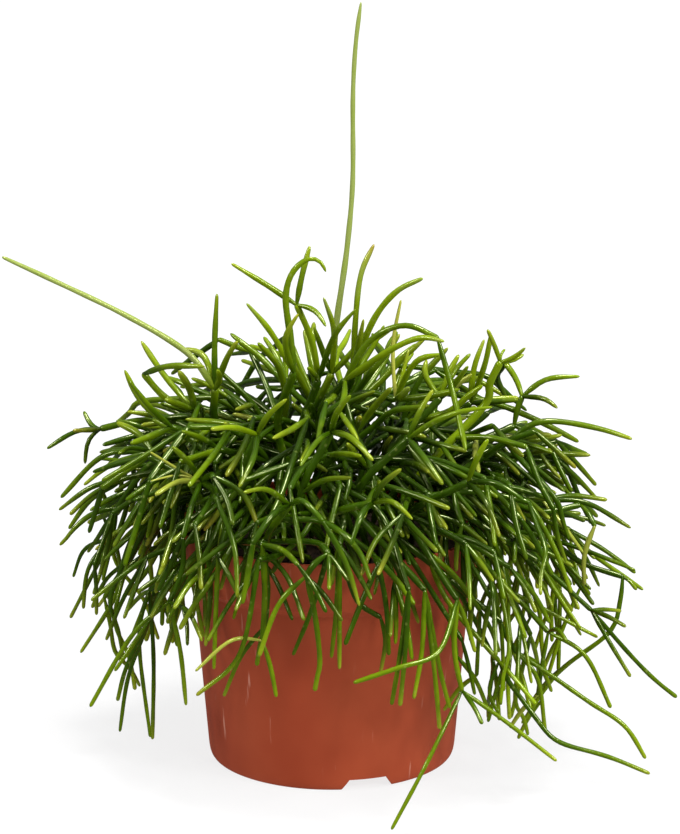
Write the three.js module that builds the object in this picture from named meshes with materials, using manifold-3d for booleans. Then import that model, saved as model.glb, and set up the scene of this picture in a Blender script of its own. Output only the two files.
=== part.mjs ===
// Mistletoe cactus (Rhipsalis) in a 12 cm nursery pot.
// Millimetres, +Z up, -Y is the front, and the origin is the middle of the pot's foot.
//
// The plant is a mound of thin, leafless, jointed stems. Each spray rises from its own hole
// in the soil on one stalk, which forks again and again into whorls of shorter shoots.
// The sprays that shape the plant's outline are placed by hand. Whorls grow on them, and the
// other sprays grow whole, by rule: clear of each other, of the pot and of the ground.

import * as THREE from "three";
import { mergeVertices } from "three/addons/utils/BufferGeometryUtils.js";
import Module from "manifold-3d";

const wasm = await Module();
wasm.setup();

// ---------------------------------------------------------------- driving dimensions

const POT_RADIUS = 60;             // outside of the collar at its top
const POT_HEIGHT = 93;
const POT_WALL = 1.2;
const RIM_WIDTH = 1.6;
const RIM_BEVEL = 0.7;
const COLLAR_FOOT = 74;            // height of the collar's lower edge
const COLLAR_TAPER = 2.2;          // the collar narrows this much down to its lower edge
const LEDGE_DROP = 3;              // the slope from the collar in to the body
const BODY_TOP_RADIUS = 53.8;
const BODY_FOOT_RADIUS = 47.8;
const FOOT_BEVEL = 1.2;
const FOOT_RING_WIDTH = 2.4;
const FLOOR_RISE = 5.8;            // the floor's underside stands this far up inside the foot ring
const FLOOR_THICKNESS = 1.4;
const PAD_RADIUS = 15;             // the floor's middle comes down to the ground
const PAD_SLOPE = 3.5;
const AROUND = 32;                 // sides of every round of pot and soil

const NOTCH_COUNT = 3;             // drainage notches in the foot ring
const NOTCH_FIRST = -73.2;         // degrees
const NOTCH_TOP_WIDTH = 14.5;
const NOTCH_FOOT_WIDTH = 21.6;
const NOTCH_HEIGHT = 4.2;
const NOTCH_BELOW = 1;             // the notches' cutter starts this far under the foot

const DRAIN_COUNT = 6;             // holes through the floor
const DRAIN_RADIUS = 3.5;
const DRAIN_CIRCLE = 33;
const DRAIN_SIDES = 8;

const SOIL_GAP = 0.4;              // between soil and pot
const SOIL_EDGE_HEIGHT = 84;
const SOIL_TOP_HEIGHT = 89;        // the soil is heaped a little in the middle

const STALK_RADIUS = 1.75;         // the stalk from the soil to the first fork
const SHOOT_RADIUS = 1.5;
const TIP_SHOOT_RADIUS = 1.35;     // the last shoots
const CORNER_FACTOR = 1.11;        // a square stem's half diagonal for the mean width of a round one
const ROOT_SHARE = 0.7;            // a shoot's width where it leaves its fork
const TIP_SHARE = 0.5;             // and at its tip
const CHORD_SAG = 0.4;             // how far a bent stem may leave its true curve

const FEET = 58;                   // places for stalks in the soil
const FEET_RADIUS = 46;            // the outermost one's distance from the axis
const FOOT_DEPTH = 14;             // a stalk stands this deep in its hole
const FOOT_HEIGHT = 3.2;           // and starts to lean this far above the soil
const HOLE_GAP = 0.35;             // round a stalk in its hole
const GOLDEN_TURN = Math.PI * (3 - Math.sqrt(5));

const CLEARANCE = 1.4;             // least gap between the stems of two sprays
const OWN_CLEARANCE = 0.2;         // between two stems of one spray, away from their fork
const POT_CLEARANCE = 0.8;         // between a stem and the pot or the ground
const FORK_ZONE = 9;               // near a fork its stems may touch
const SAMPLE_STEP = 2.5;           // spacing of the points at which clearance is measured
const CELL = 6;                    // edge of the cells that these points are sorted into
const STALK_TRIES = 240;
const SHOOT_TRIES = 24;
const LAST_TRY_SHARE = 0.6;        // the last tries at a shoot are this short

// ---------------------------------------------------------------- solids

function toSolid(geometry) {
  const shape = geometry.clone();
  shape.deleteAttribute("normal");
  shape.deleteAttribute("uv");
  const merged = mergeVertices(shape, 1e-4);
  const corners = [];
  for (let i = 0; i < merged.index.count; i += 3) {
    const [a, b, c] = [0, 1, 2].map((k) => merged.index.getX(i + k));
    if (a !== b && b !== c && c !== a) corners.push(a, b, c);   // a lathe's axis has flat triangles
  }
  return new wasm.Manifold(new wasm.Mesh({
    numProp: 3,
    vertProperties: new Float32Array(merged.attributes.position.array),
    triVerts: new Uint32Array(corners),
  }));
}

function toGeometry(solid) {
  const { vertProperties, triVerts } = solid.getMesh();
  const geometry = new THREE.BufferGeometry();
  geometry.setAttribute("position", new THREE.BufferAttribute(vertProperties, 3));
  geometry.setIndex(new THREE.BufferAttribute(triVerts, 1));
  geometry.computeVertexNormals();
  return geometry;
}

function turned(profile) {
  const points = profile.map(([radius, height]) => new THREE.Vector2(radius, height));
  return toSolid(new THREE.LatheGeometry(points, AROUND).rotateX(Math.PI / 2));
}

function block(width, bottom, top, x, y) {
  const box = new THREE.BoxGeometry(width, width, top - bottom);
  return toSolid(box.translate(x, y, (bottom + top) / 2));
}

// The value that a table of [x, y] rows gives at an x between its rows.
function interpolate(table, x) {
  for (let i = 1; i < table.length; i += 1) {
    const [x0, y0] = table[i - 1];
    const [x1, y1] = table[i];
    if (x <= x1) return y0 + ((y1 - y0) * (x - x0)) / (x1 - x0);
  }
  return table[table.length - 1][1];
}

// ---------------------------------------------------------------- pot

const collarFootRadius = POT_RADIUS - COLLAR_TAPER;
const ledgeFoot = COLLAR_FOOT - LEDGE_DROP;
const ringInnerRadius = BODY_FOOT_RADIUS - FOOT_RING_WIDTH;
const floorTop = FLOOR_RISE + FLOOR_THICKNESS;

function notch(turn) {
  const depth = 4 * FOOT_RING_WIDTH;
  const outline = new THREE.Shape([
    new THREE.Vector2(-NOTCH_FOOT_WIDTH / 2, -NOTCH_BELOW),
    new THREE.Vector2(NOTCH_FOOT_WIDTH / 2, -NOTCH_BELOW),
    new THREE.Vector2(NOTCH_TOP_WIDTH / 2, NOTCH_HEIGHT),
    new THREE.Vector2(-NOTCH_TOP_WIDTH / 2, NOTCH_HEIGHT),
  ]);
  const cutter = new THREE.ExtrudeGeometry(outline, { depth, bevelEnabled: false });
  cutter.rotateX(Math.PI / 2).translate(0, BODY_FOOT_RADIUS + depth / 2, 0);
  return toSolid(cutter.rotateZ(turn - Math.PI / 2));
}

function drainHole(turn) {
  const depth = 3 * FLOOR_THICKNESS;
  const drill = new THREE.CylinderGeometry(DRAIN_RADIUS, DRAIN_RADIUS, depth, DRAIN_SIDES);
  drill.rotateX(Math.PI / 2).translate(DRAIN_CIRCLE, 0, (FLOOR_RISE + floorTop) / 2);
  return toSolid(drill.rotateZ(turn));
}

function potSolid() {
  let pot = turned([
    [0, 0],
    [PAD_RADIUS, 0],
    [PAD_RADIUS + PAD_SLOPE, FLOOR_RISE],
    [ringInnerRadius, FLOOR_RISE],
    [ringInnerRadius, 0],
    [BODY_FOOT_RADIUS - FOOT_BEVEL, 0],
    [BODY_FOOT_RADIUS, 2 * FOOT_BEVEL],
    [BODY_TOP_RADIUS, ledgeFoot],
    [collarFootRadius, COLLAR_FOOT],
    [POT_RADIUS, POT_HEIGHT - RIM_BEVEL],
    [POT_RADIUS - RIM_BEVEL, POT_HEIGHT],
    [POT_RADIUS - RIM_WIDTH, POT_HEIGHT],
    [collarFootRadius - POT_WALL, COLLAR_FOOT + POT_WALL],
    [BODY_TOP_RADIUS - POT_WALL, ledgeFoot + POT_WALL],
    [BODY_FOOT_RADIUS - POT_WALL, floorTop + FOOT_BEVEL],
    [ringInnerRadius, floorTop],
    [PAD_RADIUS + PAD_SLOPE, floorTop],
    [PAD_RADIUS, FLOOR_THICKNESS],
    [0, FLOOR_THICKNESS],
  ]);
  for (let i = 0; i < NOTCH_COUNT; i += 1) {
    pot = pot.subtract(notch(THREE.MathUtils.degToRad(NOTCH_FIRST + (i * 360) / NOTCH_COUNT)));
  }
  for (let i = 0; i < DRAIN_COUNT; i += 1) {
    pot = pot.subtract(drainHole((i * 2 * Math.PI) / DRAIN_COUNT));
  }
  return pot;
}

// ---------------------------------------------------------------- soil and its holes

const collarInside = [             // height and inner radius of the collar
  [COLLAR_FOOT + POT_WALL, collarFootRadius - POT_WALL],
  [POT_HEIGHT, POT_RADIUS - RIM_WIDTH],
];
const soilSurface = [              // distance from the axis and height of the soil's top
  [0, SOIL_TOP_HEIGHT],
  [25, SOIL_TOP_HEIGHT - 0.5],
  [50, SOIL_TOP_HEIGHT - 2.5],
  [interpolate(collarInside, SOIL_EDGE_HEIGHT) - SOIL_GAP, SOIL_EDGE_HEIGHT],
];

function soilHeight(x, y) {
  return interpolate(soilSurface, Math.sqrt(x * x + y * y));
}

function footPlace(index) {
  const radius = FEET_RADIUS * Math.sqrt((index + 0.5) / FEET);
  const turn = index * GOLDEN_TURN;
  return [radius * Math.cos(turn), radius * Math.sin(turn)];
}

function soilSolid(feet) {
  let soil = turned([
    [0, FLOOR_THICKNESS + SOIL_GAP],
    [PAD_RADIUS - SOIL_GAP, FLOOR_THICKNESS + SOIL_GAP],
    [PAD_RADIUS + PAD_SLOPE - SOIL_GAP, floorTop + SOIL_GAP],
    [ringInnerRadius - SOIL_GAP, floorTop + SOIL_GAP],
    [BODY_FOOT_RADIUS - POT_WALL - SOIL_GAP, floorTop + FOOT_BEVEL + SOIL_GAP],
    [BODY_TOP_RADIUS - POT_WALL - SOIL_GAP, ledgeFoot + POT_WALL + SOIL_GAP],
    [collarFootRadius - POT_WALL - SOIL_GAP, COLLAR_FOOT + POT_WALL + SOIL_GAP],
    ...[...soilSurface].reverse(),
  ]);
  const width = Math.SQRT2 * STALK_RADIUS * CORNER_FACTOR + 2 * HOLE_GAP;
  for (const [x, y] of feet) {
    const bottom = soilHeight(x, y) - FOOT_DEPTH - HOLE_GAP;
    soil = soil.subtract(block(width, bottom, SOIL_TOP_HEIGHT + HOLE_GAP, x, y));
  }
  return soil;
}

// ---------------------------------------------------------------- stem paths and their clearance

function makeDraw(seed) {
  let state = seed;
  return (low, high) => {
    state = (state * 48271) % 2147483647;
    return low + ((high - low) * state) / 2147483647;
  };
}

const vector = (x, y, z) => new THREE.Vector3(x, y, z);
const stemCurve = (points) => new THREE.CatmullRomCurve3(points, false, "catmullrom", 0.5);

function pathLength(points) {
  let length = 0;
  for (let i = 1; i < points.length; i += 1) length += points[i].distanceTo(points[i - 1]);
  return length;
}

function samplePath(points) {
  return stemCurve(points).getPoints(Math.ceil(pathLength(points) / SAMPLE_STEP));
}

// Points along every stem, in cells: "i,j,k" of the cell -> [{ point, radius, owner }].
// The owner is the stem's spray, or the foot that the space is kept free for.
const occupied = new Map();

function cellOf(point) {
  return [Math.floor(point.x / CELL), Math.floor(point.y / CELL), Math.floor(point.z / CELL)];
}

function occupy(points, radius, owner) {
  for (const point of samplePath(points)) {
    const key = cellOf(point).join();
    if (!occupied.has(key)) occupied.set(key, []);
    occupied.get(key).push({ point, radius, owner });
  }
}

function near(point) {
  const [i, j, k] = cellOf(point);
  const found = [];
  for (let a = i - 1; a <= i + 1; a += 1) {
    for (let b = j - 1; b <= j + 1; b += 1) {
      for (let c = k - 1; c <= k + 1; c += 1) found.push(...(occupied.get(`${a},${b},${c}`) ?? []));
    }
  }
  return found;
}

// Whether a stem meets the pot, the soil or the ground at a point of its path.
function meetsPot(point, radius) {
  const gap = radius + POT_CLEARANCE;
  const reach = Math.hypot(point.x, point.y);
  if (point.z < gap) return true;
  if (point.z > POT_HEIGHT + gap || reach > POT_RADIUS + gap) return false;
  if (point.z < ledgeFoot - gap && reach > BODY_TOP_RADIUS + gap) return false;
  const inside = reach < collarFootRadius - POT_WALL - radius;
  return !(inside && point.z > soilHeight(point.x, point.y) + radius);
}

// Whether a stem has room. Near the forks at its ends it may touch its own spray.
function isClear(points, radius, spray, forks) {
  return samplePath(points).every((sample) => {
    if (meetsPot(sample, radius)) return false;
    const atFork = forks.some((fork) => fork.distanceTo(sample) < FORK_ZONE);
    return near(sample).every((other) => {
      const own = other.owner === spray;
      if ((own && atFork) || other.owner === spray.foot) return true;
      const least = radius + other.radius + (own ? OWN_CLEARANCE : CLEARANCE);
      return other.point.distanceTo(sample) >= least;
    });
  });
}

// ---------------------------------------------------------------- sprays placed by hand

// A shoot is a list of [x, y, z] points. It starts at the end of an earlier shoot of its spray,
// or at a fork that the spray's stalk reaches.
const HAND_PLACED = {
  front_crown: [
    [[0, -64, 145], [-5, -80, 146], [-11, -92, 140]],
    [[0, -64, 145], [2, -74, 155], [7, -80, 163]],
    [[0, -64, 145], [7, -82, 148], [15, -92, 142]],
  ],
  front_crown_left: [
    [[-27, -60, 143], [-35, -72, 149], [-43, -82, 151]],
    [[-27, -60, 143], [-28, -78, 139], [-33, -88, 131]],
    [[-27, -60, 143], [-23, -66, 152], [-16, -70, 159]],
  ],
  front_crown_right: [
    [[28, -62, 142], [37, -68, 150], [47, -72, 155], [58, -74, 157]],
    [[28, -62, 142], [32, -62, 152], [37, -60, 160]],
    [[28, -62, 142], [33, -78, 140], [40, -88, 132]],
  ],
  front_brow_left: [
    [[-15, -80, 122], [-21, -92, 122], [-28, -98, 113]],
    [[-15, -80, 122], [-10, -94, 128], [-3, -100, 122]],
    [[-15, -80, 122], [-23, -90, 131], [-31, -98, 132]],
    [[-1, -90, 107], [-6, -92, 104], [-9, -92, 99]],
    [[-9, -92, 99], [-19, -94, 89], [-26, -96, 70]],
    [[-9, -92, 99], [-6, -90, 85], [-4, -88, 66]],
    [[-4, -88, 66], [-5, -88, 60], [-6, -88, 54]],
    [[-9, -92, 99], [-3, -96, 94], [4, -98, 84]],
    [[-1, -90, 107], [-7, -84, 84], [-14, -80, 65]],
  ],
  front_brow_right: [
    [[15, -80, 123], [11, -94, 123], [7, -100, 113]],
    [[15, -80, 123], [22, -92, 127], [29, -98, 122]],
    [[15, -80, 123], [18, -88, 132], [25, -92, 139]],
    [[17, -84, 101], [11, -88, 88], [5, -92, 73]],
    [[17, -84, 101], [20, -80, 84], [21, -80, 65]],
    [[3, -80, 107], [3, -82, 87], [3, -84, 61]],
    [[3, -80, 107], [2, -76, 83], [0, -74, 62]],
    [[3, -80, 107], [9, -72, 84], [18, -72, 77]],
    [[18, -72, 77], [20, -72, 68], [18, -72, 55]],
  ],
  right_brow: [
    [[50, -60, 125], [60, -68, 127], [70, -74, 122]],
    [[50, -60, 125], [56, -74, 122], [61, -80, 110]],
    [[50, -60, 125], [53, -64, 135], [57, -66, 143]],
  ],
  left_brow: [
    [[-48, -52, 123], [-56, -62, 126], [-64, -70, 123]],
    [[-48, -52, 123], [-51, -68, 118], [-54, -74, 108]],
    [[-48, -52, 123], [-52, -58, 132], [-58, -62, 139]],
  ],
  tall: [
    [[0, -4, 152], [2, -4, 173], [4, -4, 187], [6, -3, 202],
      [8, -2, 226], [8, -1, 257], [9, 0, 277], [11, 1, 293]],
    [[0, -4, 152], [1, -9, 170], [-3, -14, 184]],
  ],
  top_left: [
    [[-5, -18, 153], [-7, -20, 168], [-13, -22, 183]],
    [[-13, -22, 183], [-24, -24, 191], [-37, -28, 200]],
    [[-13, -22, 183], [-11, -22, 194], [-8, -20, 205]],
    [[-13, -22, 183], [-6, -26, 182], [-2, -32, 177]],
    [[-5, -18, 153], [1, -30, 173], [9, -34, 184]],
  ],
  top_curl: [
    [[-14, -38, 161], [-15, -38, 175], [-17, -38, 188]],
    [[-17, -38, 188], [-15, -38, 198], [-9, -38, 204], [-4, -38, 203], [-2, -38, 199]],
    [[-14, -38, 161], [-22, -42, 177], [-31, -46, 189]],
    [[-14, -38, 161], [-17, -48, 176], [-12, -50, 186]],
  ],
  top_right: [
    [[8, -12, 153], [9, -14, 175], [11, -14, 193], [16, -12, 204]],
    [[8, -12, 153], [15, -18, 175], [24, -22, 188], [34, -26, 194]],
    [[8, -12, 153], [10, -20, 166], [12, -24, 178]],
    [[8, -12, 153], [15, -6, 162], [20, -4, 171]],
  ],
  right_arcs: [
    [[5, -34, 157], [14, -38, 173], [27, -42, 180], [39, -46, 176]],
    [[5, -34, 157], [20, -48, 171], [32, -54, 178], [41, -60, 178]],
    [[24, -24, 147], [27, -20, 157], [29, -18, 165]],
    [[24, -24, 147], [31, -30, 163], [41, -34, 167]],
    [[24, -24, 147], [23, -20, 167], [26, -18, 184]],
  ],
  shoulder_stubs: [
    [[41, -18, 146], [44, -16, 155], [48, -14, 162]],
    [[41, -18, 146], [46, -24, 153], [51, -28, 161]],
    [[41, -18, 146], [35, -14, 154], [36, -10, 159]],
    [[53, -6, 141], [54, -4, 154], [58, -2, 165]],
    [[53, -6, 141], [58, -10, 157], [60, -12, 169]],
  ],
  star: [
    [[57, -24, 144], [59, -25, 153], [63, -26, 162]],
    [[63, -26, 162], [61, -26, 168], [58, -28, 175]],
    [[63, -26, 162], [63, -24, 165], [65, -22, 166]],
    [[63, -26, 162], [68, -28, 164], [72, -32, 169]],
    [[63, -26, 162], [68, -24, 162], [72, -22, 164]],
  ],
  right_high: [
    [[70, 2, 130], [71, 3, 136], [73, 4, 141]],
    [[73, 4, 141], [82, 4, 148], [95, 4, 149]],
    [[73, 4, 141], [81, -2, 142], [86, -6, 139]],
    [[73, 4, 141], [71, 8, 147], [67, 12, 152]],
  ],
  right_long: [
    [[68, -14, 129], [76, -14, 135], [86, -14, 136], [102, -14, 133], [114, -14, 129]],
    [[68, -14, 129], [78, -8, 127], [88, -4, 128]],
    [[68, -14, 129], [76, -20, 128], [83, -26, 127]],
  ],
  right_mid: [
    [[73, 14, 114], [87, 16, 111], [97, 18, 102]],
    [[73, 14, 114], [85, 10, 107], [94, 6, 100]],
    [[73, 14, 114], [86, 20, 102], [97, 26, 97]],
  ],
  right_out: [
    [[80, -22, 107], [91, -18, 108], [105, -14, 105]],
    [[80, -22, 107], [96, -24, 107], [113, -28, 98]],
    [[94, -24, 106], [97, -28, 104], [99, -32, 100]],
    [[84, 8, 93], [91, 10, 93], [97, 12, 92]],
    [[84, 8, 93], [96, 4, 93], [106, 2, 90]],
  ],
  right_fan: [
    [[84, -4, 94], [103, -6, 84], [117, -8, 74]],
    [[84, -4, 94], [101, -12, 82], [119, -20, 71]],
    [[84, -20, 91], [98, -30, 89], [114, -40, 85]],
    [[84, -20, 91], [94, -26, 84], [110, -32, 80]],
    [[110, -32, 80], [113, -34, 79], [115, -36, 76]],
    [[110, -32, 80], [109, -34, 71], [105, -36, 59]],
  ],
  right_low: [
    [[77, -44, 90], [87, -46, 81], [97, -48, 72]],
    [[97, -48, 72], [104, -50, 60], [112, -52, 47]],
    [[97, -48, 72], [112, -42, 53], [122, -40, 42], [131, -38, 34]],
    [[97, -48, 72], [103, -44, 71], [109, -40, 69]],
    [[97, -48, 72], [103, -56, 72], [109, -62, 70]],
    [[67, -40, 77], [83, -36, 67], [101, -32, 56]],
    [[67, -40, 77], [74, -46, 71], [81, -50, 64]],
    [[81, -50, 64], [95, -50, 55], [105, -50, 34]],
    [[81, -50, 64], [84, -58, 68], [87, -64, 65]],
  ],
  right_trail: [
    [[63, -56, 70], [65, -56, 64], [69, -56, 58]],
    [[69, -56, 58], [82, -56, 49], [97, -56, 38]],
    [[97, -56, 38], [110, -56, 29], [118, -56, 16]],
    [[69, -56, 58], [77, -57, 48], [80, -57, 27]],
    [[69, -56, 58], [78, -50, 51], [83, -46, 39]],
    [[62, -66, 58], [65, -66, 51], [70, -66, 44]],
    [[70, -66, 44], [76, -67, 36], [84, -68, 27]],
    [[84, -68, 27], [102, -66, 21], [119, -64, 13]],
    [[62, -66, 58], [58, -68, 47], [62, -70, 39]],
    [[62, -66, 58], [69, -74, 52], [75, -80, 46]],
  ],
  front_floor: [
    [[46, -76, 85], [45, -76, 66], [48, -76, 50]],
    [[48, -76, 50], [35, -92, 28], [22, -95, 3]],
    [[48, -76, 50], [65, -78, 38], [83, -80, 24]],
    [[48, -76, 50], [52, -84, 47], [55, -90, 42]],
    [[46, -76, 85], [39, -94, 71], [25, -99, 67], [8, -99, 61]],
  ],
  front_right: [
    [[34, -80, 90], [38, -76, 56], [40, -73, 34]],
    [[34, -80, 90], [40, -69, 56], [44, -64, 39]],
    [[34, -80, 90], [33, -84, 68], [30, -88, 51]],
    [[28, -90, 93], [27, -90, 72], [25, -90, 49]],
    [[28, -90, 93], [25, -88, 68], [22, -86, 48]],
  ],
  front_left: [
    [[-25, -82, 108], [-24, -84, 91], [-25, -84, 72]],
    [[-25, -84, 72], [-22, -85, 62], [-20, -86, 51]],
    [[-25, -82, 108], [-23, -76, 91], [-24, -72, 74]],
    [[-25, -84, 72], [-36, -92, 75], [-49, -95, 64]],
    [[-26, -88, 104], [-33, -90, 69], [-49, -90, 53]],
  ],
  front_left_hang: [
    [[-41, -78, 102], [-42, -78, 82], [-43, -78, 59]],
    [[-41, -78, 102], [-46, -70, 91], [-51, -66, 80]],
    [[-41, -78, 102], [-36, -84, 95], [-33, -88, 89]],
  ],
  left_fork: [
    [[-46, -56, 100], [-54, -58, 89], [-60, -60, 79]],
    [[-60, -60, 79], [-74, -60, 66], [-90, -60, 38]],
    [[-60, -60, 79], [-56, -62, 61], [-54, -64, 40]],
    [[-60, -60, 79], [-52, -75, 80], [-47, -82, 71]],
  ],
  left_low: [
    [[-56, -44, 90], [-63, -46, 79], [-68, -48, 68]],
    [[-68, -48, 68], [-74, -52, 60], [-81, -54, 50]],
    [[-68, -48, 68], [-77, -44, 49], [-81, -42, 34]],
    [[-68, -48, 68], [-77, -36, 42], [-81, -32, 18]],
    [[-69, -30, 74], [-73, -34, 56], [-69, -38, 18]],
    [[-69, -30, 74], [-68, -26, 45], [-69, -24, 12]],
  ],
  left_dark: [
    [[-78, -12, 80], [-84, -12, 64], [-97, -12, 43]],
    [[-78, -12, 80], [-81, -18, 70], [-83, -22, 58]],
    [[-78, -12, 80], [-87, -6, 71], [-93, -2, 58]],
    [[-86, 12, 82], [-94, 14, 66], [-103, 16, 48]],
    [[-86, 12, 82], [-95, 8, 71], [-97, 6, 55]],
    [[-86, 12, 82], [-97, 18, 76], [-102, 22, 63]],
  ],
  left_arcs: [
    [[-68, -14, 124], [-83, -16, 120], [-94, -18, 112]],
    [[-68, -14, 124], [-87, -8, 121], [-104, -4, 103]],
    [[-68, -14, 124], [-76, -22, 128], [-80, -28, 127]],
    [[-82, -12, 101], [-91, -13, 100], [-99, -14, 93]],
    [[-99, -14, 93], [-101, -14, 90], [-104, -14, 87]],
    [[-81, 6, 107], [-93, 8, 104], [-106, 10, 94]],
    [[-81, 6, 107], [-92, 2, 103], [-101, 0, 95]],
    [[-81, 6, 107], [-94, 14, 97], [-103, 18, 84]],
  ],
  left_star: [
    [[-58, 16, 127], [-74, 18, 128], [-90, 20, 124]],
    [[-90, 20, 124], [-100, 20, 123], [-111, 20, 116]],
    [[-90, 20, 124], [-94, 24, 124], [-97, 28, 129]],
    [[-90, 20, 124], [-95, 18, 120], [-96, 16, 111]],
    [[-90, 20, 124], [-94, 14, 125], [-100, 10, 126]],
  ],
  left_high: [
    [[-52, -8, 138], [-63, -10, 144], [-71, -12, 154]],
    [[-71, -12, 154], [-61, -24, 160], [-47, -33, 162]],
    [[-52, -8, 138], [-64, 2, 150], [-73, 8, 162]],
    [[-60, -26, 137], [-71, -28, 147], [-77, -30, 160]],
    [[-60, -26, 137], [-67, -34, 146], [-75, -38, 158]],
  ],
  long_left: [
    [[-44, -16, 149], [-54, -16, 163], [-76, -16, 177], [-102, -16, 190], [-123, -16, 200]],
    [[-44, -16, 149], [-44, -14, 166], [-43, -12, 185]],
    [[-44, -16, 149], [-39, -22, 163], [-35, -26, 170]],
    [[-44, -16, 149], [-48, -8, 160], [-56, -4, 162]],
  ],
};

// ---------------------------------------------------------------- the mound that shoots fill

const CROWN_HEIGHT = 95;           // the point that the mound spreads from
const MOUND_REACH = 95;            // the mound's radius at that height
const MOUND_RISE = 77;             // and its height above it
const FRONT_DROP = 56;             // how far the shoots hang below it in front and behind
const SIDE_DROP = 82;              // and at the sides
const SIDE_START = 70;             // this far from the middle
const CLIMB = [                    // degrees from the zenith round the crown -> degrees above level
  [0, 62],
  [45, 18],
  [90, -32],
  [125, -68],
];

function crownAngle(point) {
  const level = Math.hypot(point.x, point.y);
  return THREE.MathUtils.radToDeg(Math.atan2(level, point.z - CROWN_HEIGHT));
}

// The way that shoots lean at a point: up on top of the mound, level at its shoulder, then hanging.
function lean(point, lift, veer) {
  const climb = THREE.MathUtils.degToRad(interpolate(CLIMB, crownAngle(point)) + lift);
  const turn = Math.atan2(point.y, point.x) + veer;
  return vector(Math.cos(climb) * Math.cos(turn), Math.cos(climb) * Math.sin(turn), Math.sin(climb));
}

function insideMound(point) {
  const height = point.z - CROWN_HEIGHT;
  const reach = Math.hypot(point.x, point.y) / MOUND_REACH;
  const aside = Math.min(Math.abs(point.x) / SIDE_START, 1);
  const drop = FRONT_DROP + (SIDE_DROP - FRONT_DROP) * aside;
  const rise = height / (height > 0 ? MOUND_RISE : drop);
  return reach * reach + rise * rise < 1;
}

// ---------------------------------------------------------------- stalks

const RIM_MARGIN = 6;              // a fork no nearer to the axis than this inside the rim
const RIM_HEADROOM = 14;           // and no higher than this above it has a stalk that arches
const ARCH_INSET = 3;              // the arch's top lies this far inside the rim
const ARCH_TURN = 0.45;            // and up to this far round the pot, in radians
const ARCH_RISE = [6, 34];         // above the rim
const STALK_BOW = 12;              // how far the middle of another stalk moves sideways
const STALK_RISE = [-4, 10];       // and up
const BRANCH_START = [0.3, 0.95];  // where a branch leaves its stalk, as a share of the stalk
const BRANCH_BOW = 9;
const BRANCH_RISE = [-3, 9];

// Keeps a stem if it has room.
function place(spray, points, radius, forks) {
  if (!isClear(points, radius, spray, forks)) return false;
  occupy(points, radius, spray);
  spray.stems.push({ points, radius });
  return true;
}

// A stem from start to fork, bowed by chance.
function bowed(start, fork, bow, rise, draw) {
  const middle = start.clone().lerp(fork, 0.5);
  return [start, middle.add(vector(draw(-bow, bow), draw(-bow, bow), draw(...rise))), fork];
}

// A stalk that climbs over the rim before it comes down to its fork.
function arched(start, fork, draw) {
  const turn = draw(-ARCH_TURN, ARCH_TURN);
  const middle = fork.clone().applyAxisAngle(vector(0, 0, 1), turn);
  middle.setZ(0).setLength(POT_RADIUS - ARCH_INSET).setZ(POT_HEIGHT + draw(...ARCH_RISE));
  return [start, middle, fork];
}

function raiseStalk(spray, fork) {
  const [x, y] = spray.foot;
  const start = vector(x, y, soilHeight(x, y) + FOOT_HEIGHT);
  const overRim = Math.hypot(fork.x, fork.y) > POT_RADIUS - RIM_MARGIN
    && fork.z < POT_HEIGHT + RIM_HEADROOM;
  for (let i = 0; i < STALK_TRIES; i += 1) {
    const path = overRim
      ? arched(start, fork, spray.draw)
      : bowed(start, fork, STALK_BOW, STALK_RISE, spray.draw);
    if (place(spray, path, STALK_RADIUS, [fork])) return;
  }
}

function branchTo(spray, fork) {
  const stalk = stemCurve(spray.stems[0].points);
  for (let i = 0; i < STALK_TRIES; i += 1) {
    const start = stalk.getPoint(spray.draw(...BRANCH_START));
    const path = bowed(start, fork, BRANCH_BOW, BRANCH_RISE, spray.draw);
    if (place(spray, path, SHOOT_RADIUS, [start, fork])) return;
  }
}

// ---------------------------------------------------------------- whorls of shoots

const HALFWAY_WHORL = { top: 0, side: 1, length: [24, 40], radius: SHOOT_RADIUS };
const END_WHORLS = [               // shoots at a fork on top and at the sides, and their size
  { top: 3, side: 3, length: [22, 38], radius: SHOOT_RADIUS },
  { top: 1.4, side: 2, length: [16, 32], radius: TIP_SHOOT_RADIUS },
  { top: 0, side: 1, length: [14, 28], radius: TIP_SHOOT_RADIUS },
];
const WHORL_TOP = 40;              // degrees from the zenith where the top's numbers end
const WHORL_SIDE = 85;             // and where the sides' begin
const HAND_FULLNESS = 0.62;        // how much of that the sprays placed by hand get
const RULE_FULLNESS = 0.9;         // and the sprays placed by rule
const TURN_JITTER = 0.3;           // of the turn from one shoot of a whorl to the next
const SHOOT_OPEN = [0.35, 0.95];   // radians between a shoot and the stem before it
const SHOOT_LIFT = [-26, 34];      // degrees that a shoot's lean is off the usual one, up
const SHOOT_VEER = 0.9;            // and sideways, in radians
const LEAN_SHARE = 0.7;            // how strongly a shoot's lean turns its first half
const BEND_SHARE = 0.8;            // and its second half

// A shoot from a fork, opened sideways from the way that the stem before it came.
function newShoot(fork, heading, turn, length, draw) {
  const side = vector(-heading.y, heading.x, 0.01).normalize().applyAxisAngle(heading, turn);
  const open = draw(...SHOOT_OPEN);
  const lift = draw(...SHOOT_LIFT);
  const veer = draw(-SHOOT_VEER, SHOOT_VEER);
  const first = heading.clone().multiplyScalar(Math.cos(open)).addScaledVector(side, Math.sin(open));
  first.addScaledVector(lean(fork, lift, veer), LEAN_SHARE).normalize();
  const middle = fork.clone().addScaledVector(first, length / 2);
  const second = first.clone().addScaledVector(lean(middle, lift / 2, veer / 2), BEND_SHARE);
  return [fork, middle, middle.clone().addScaledVector(second.normalize(), length / 2)];
}

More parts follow.
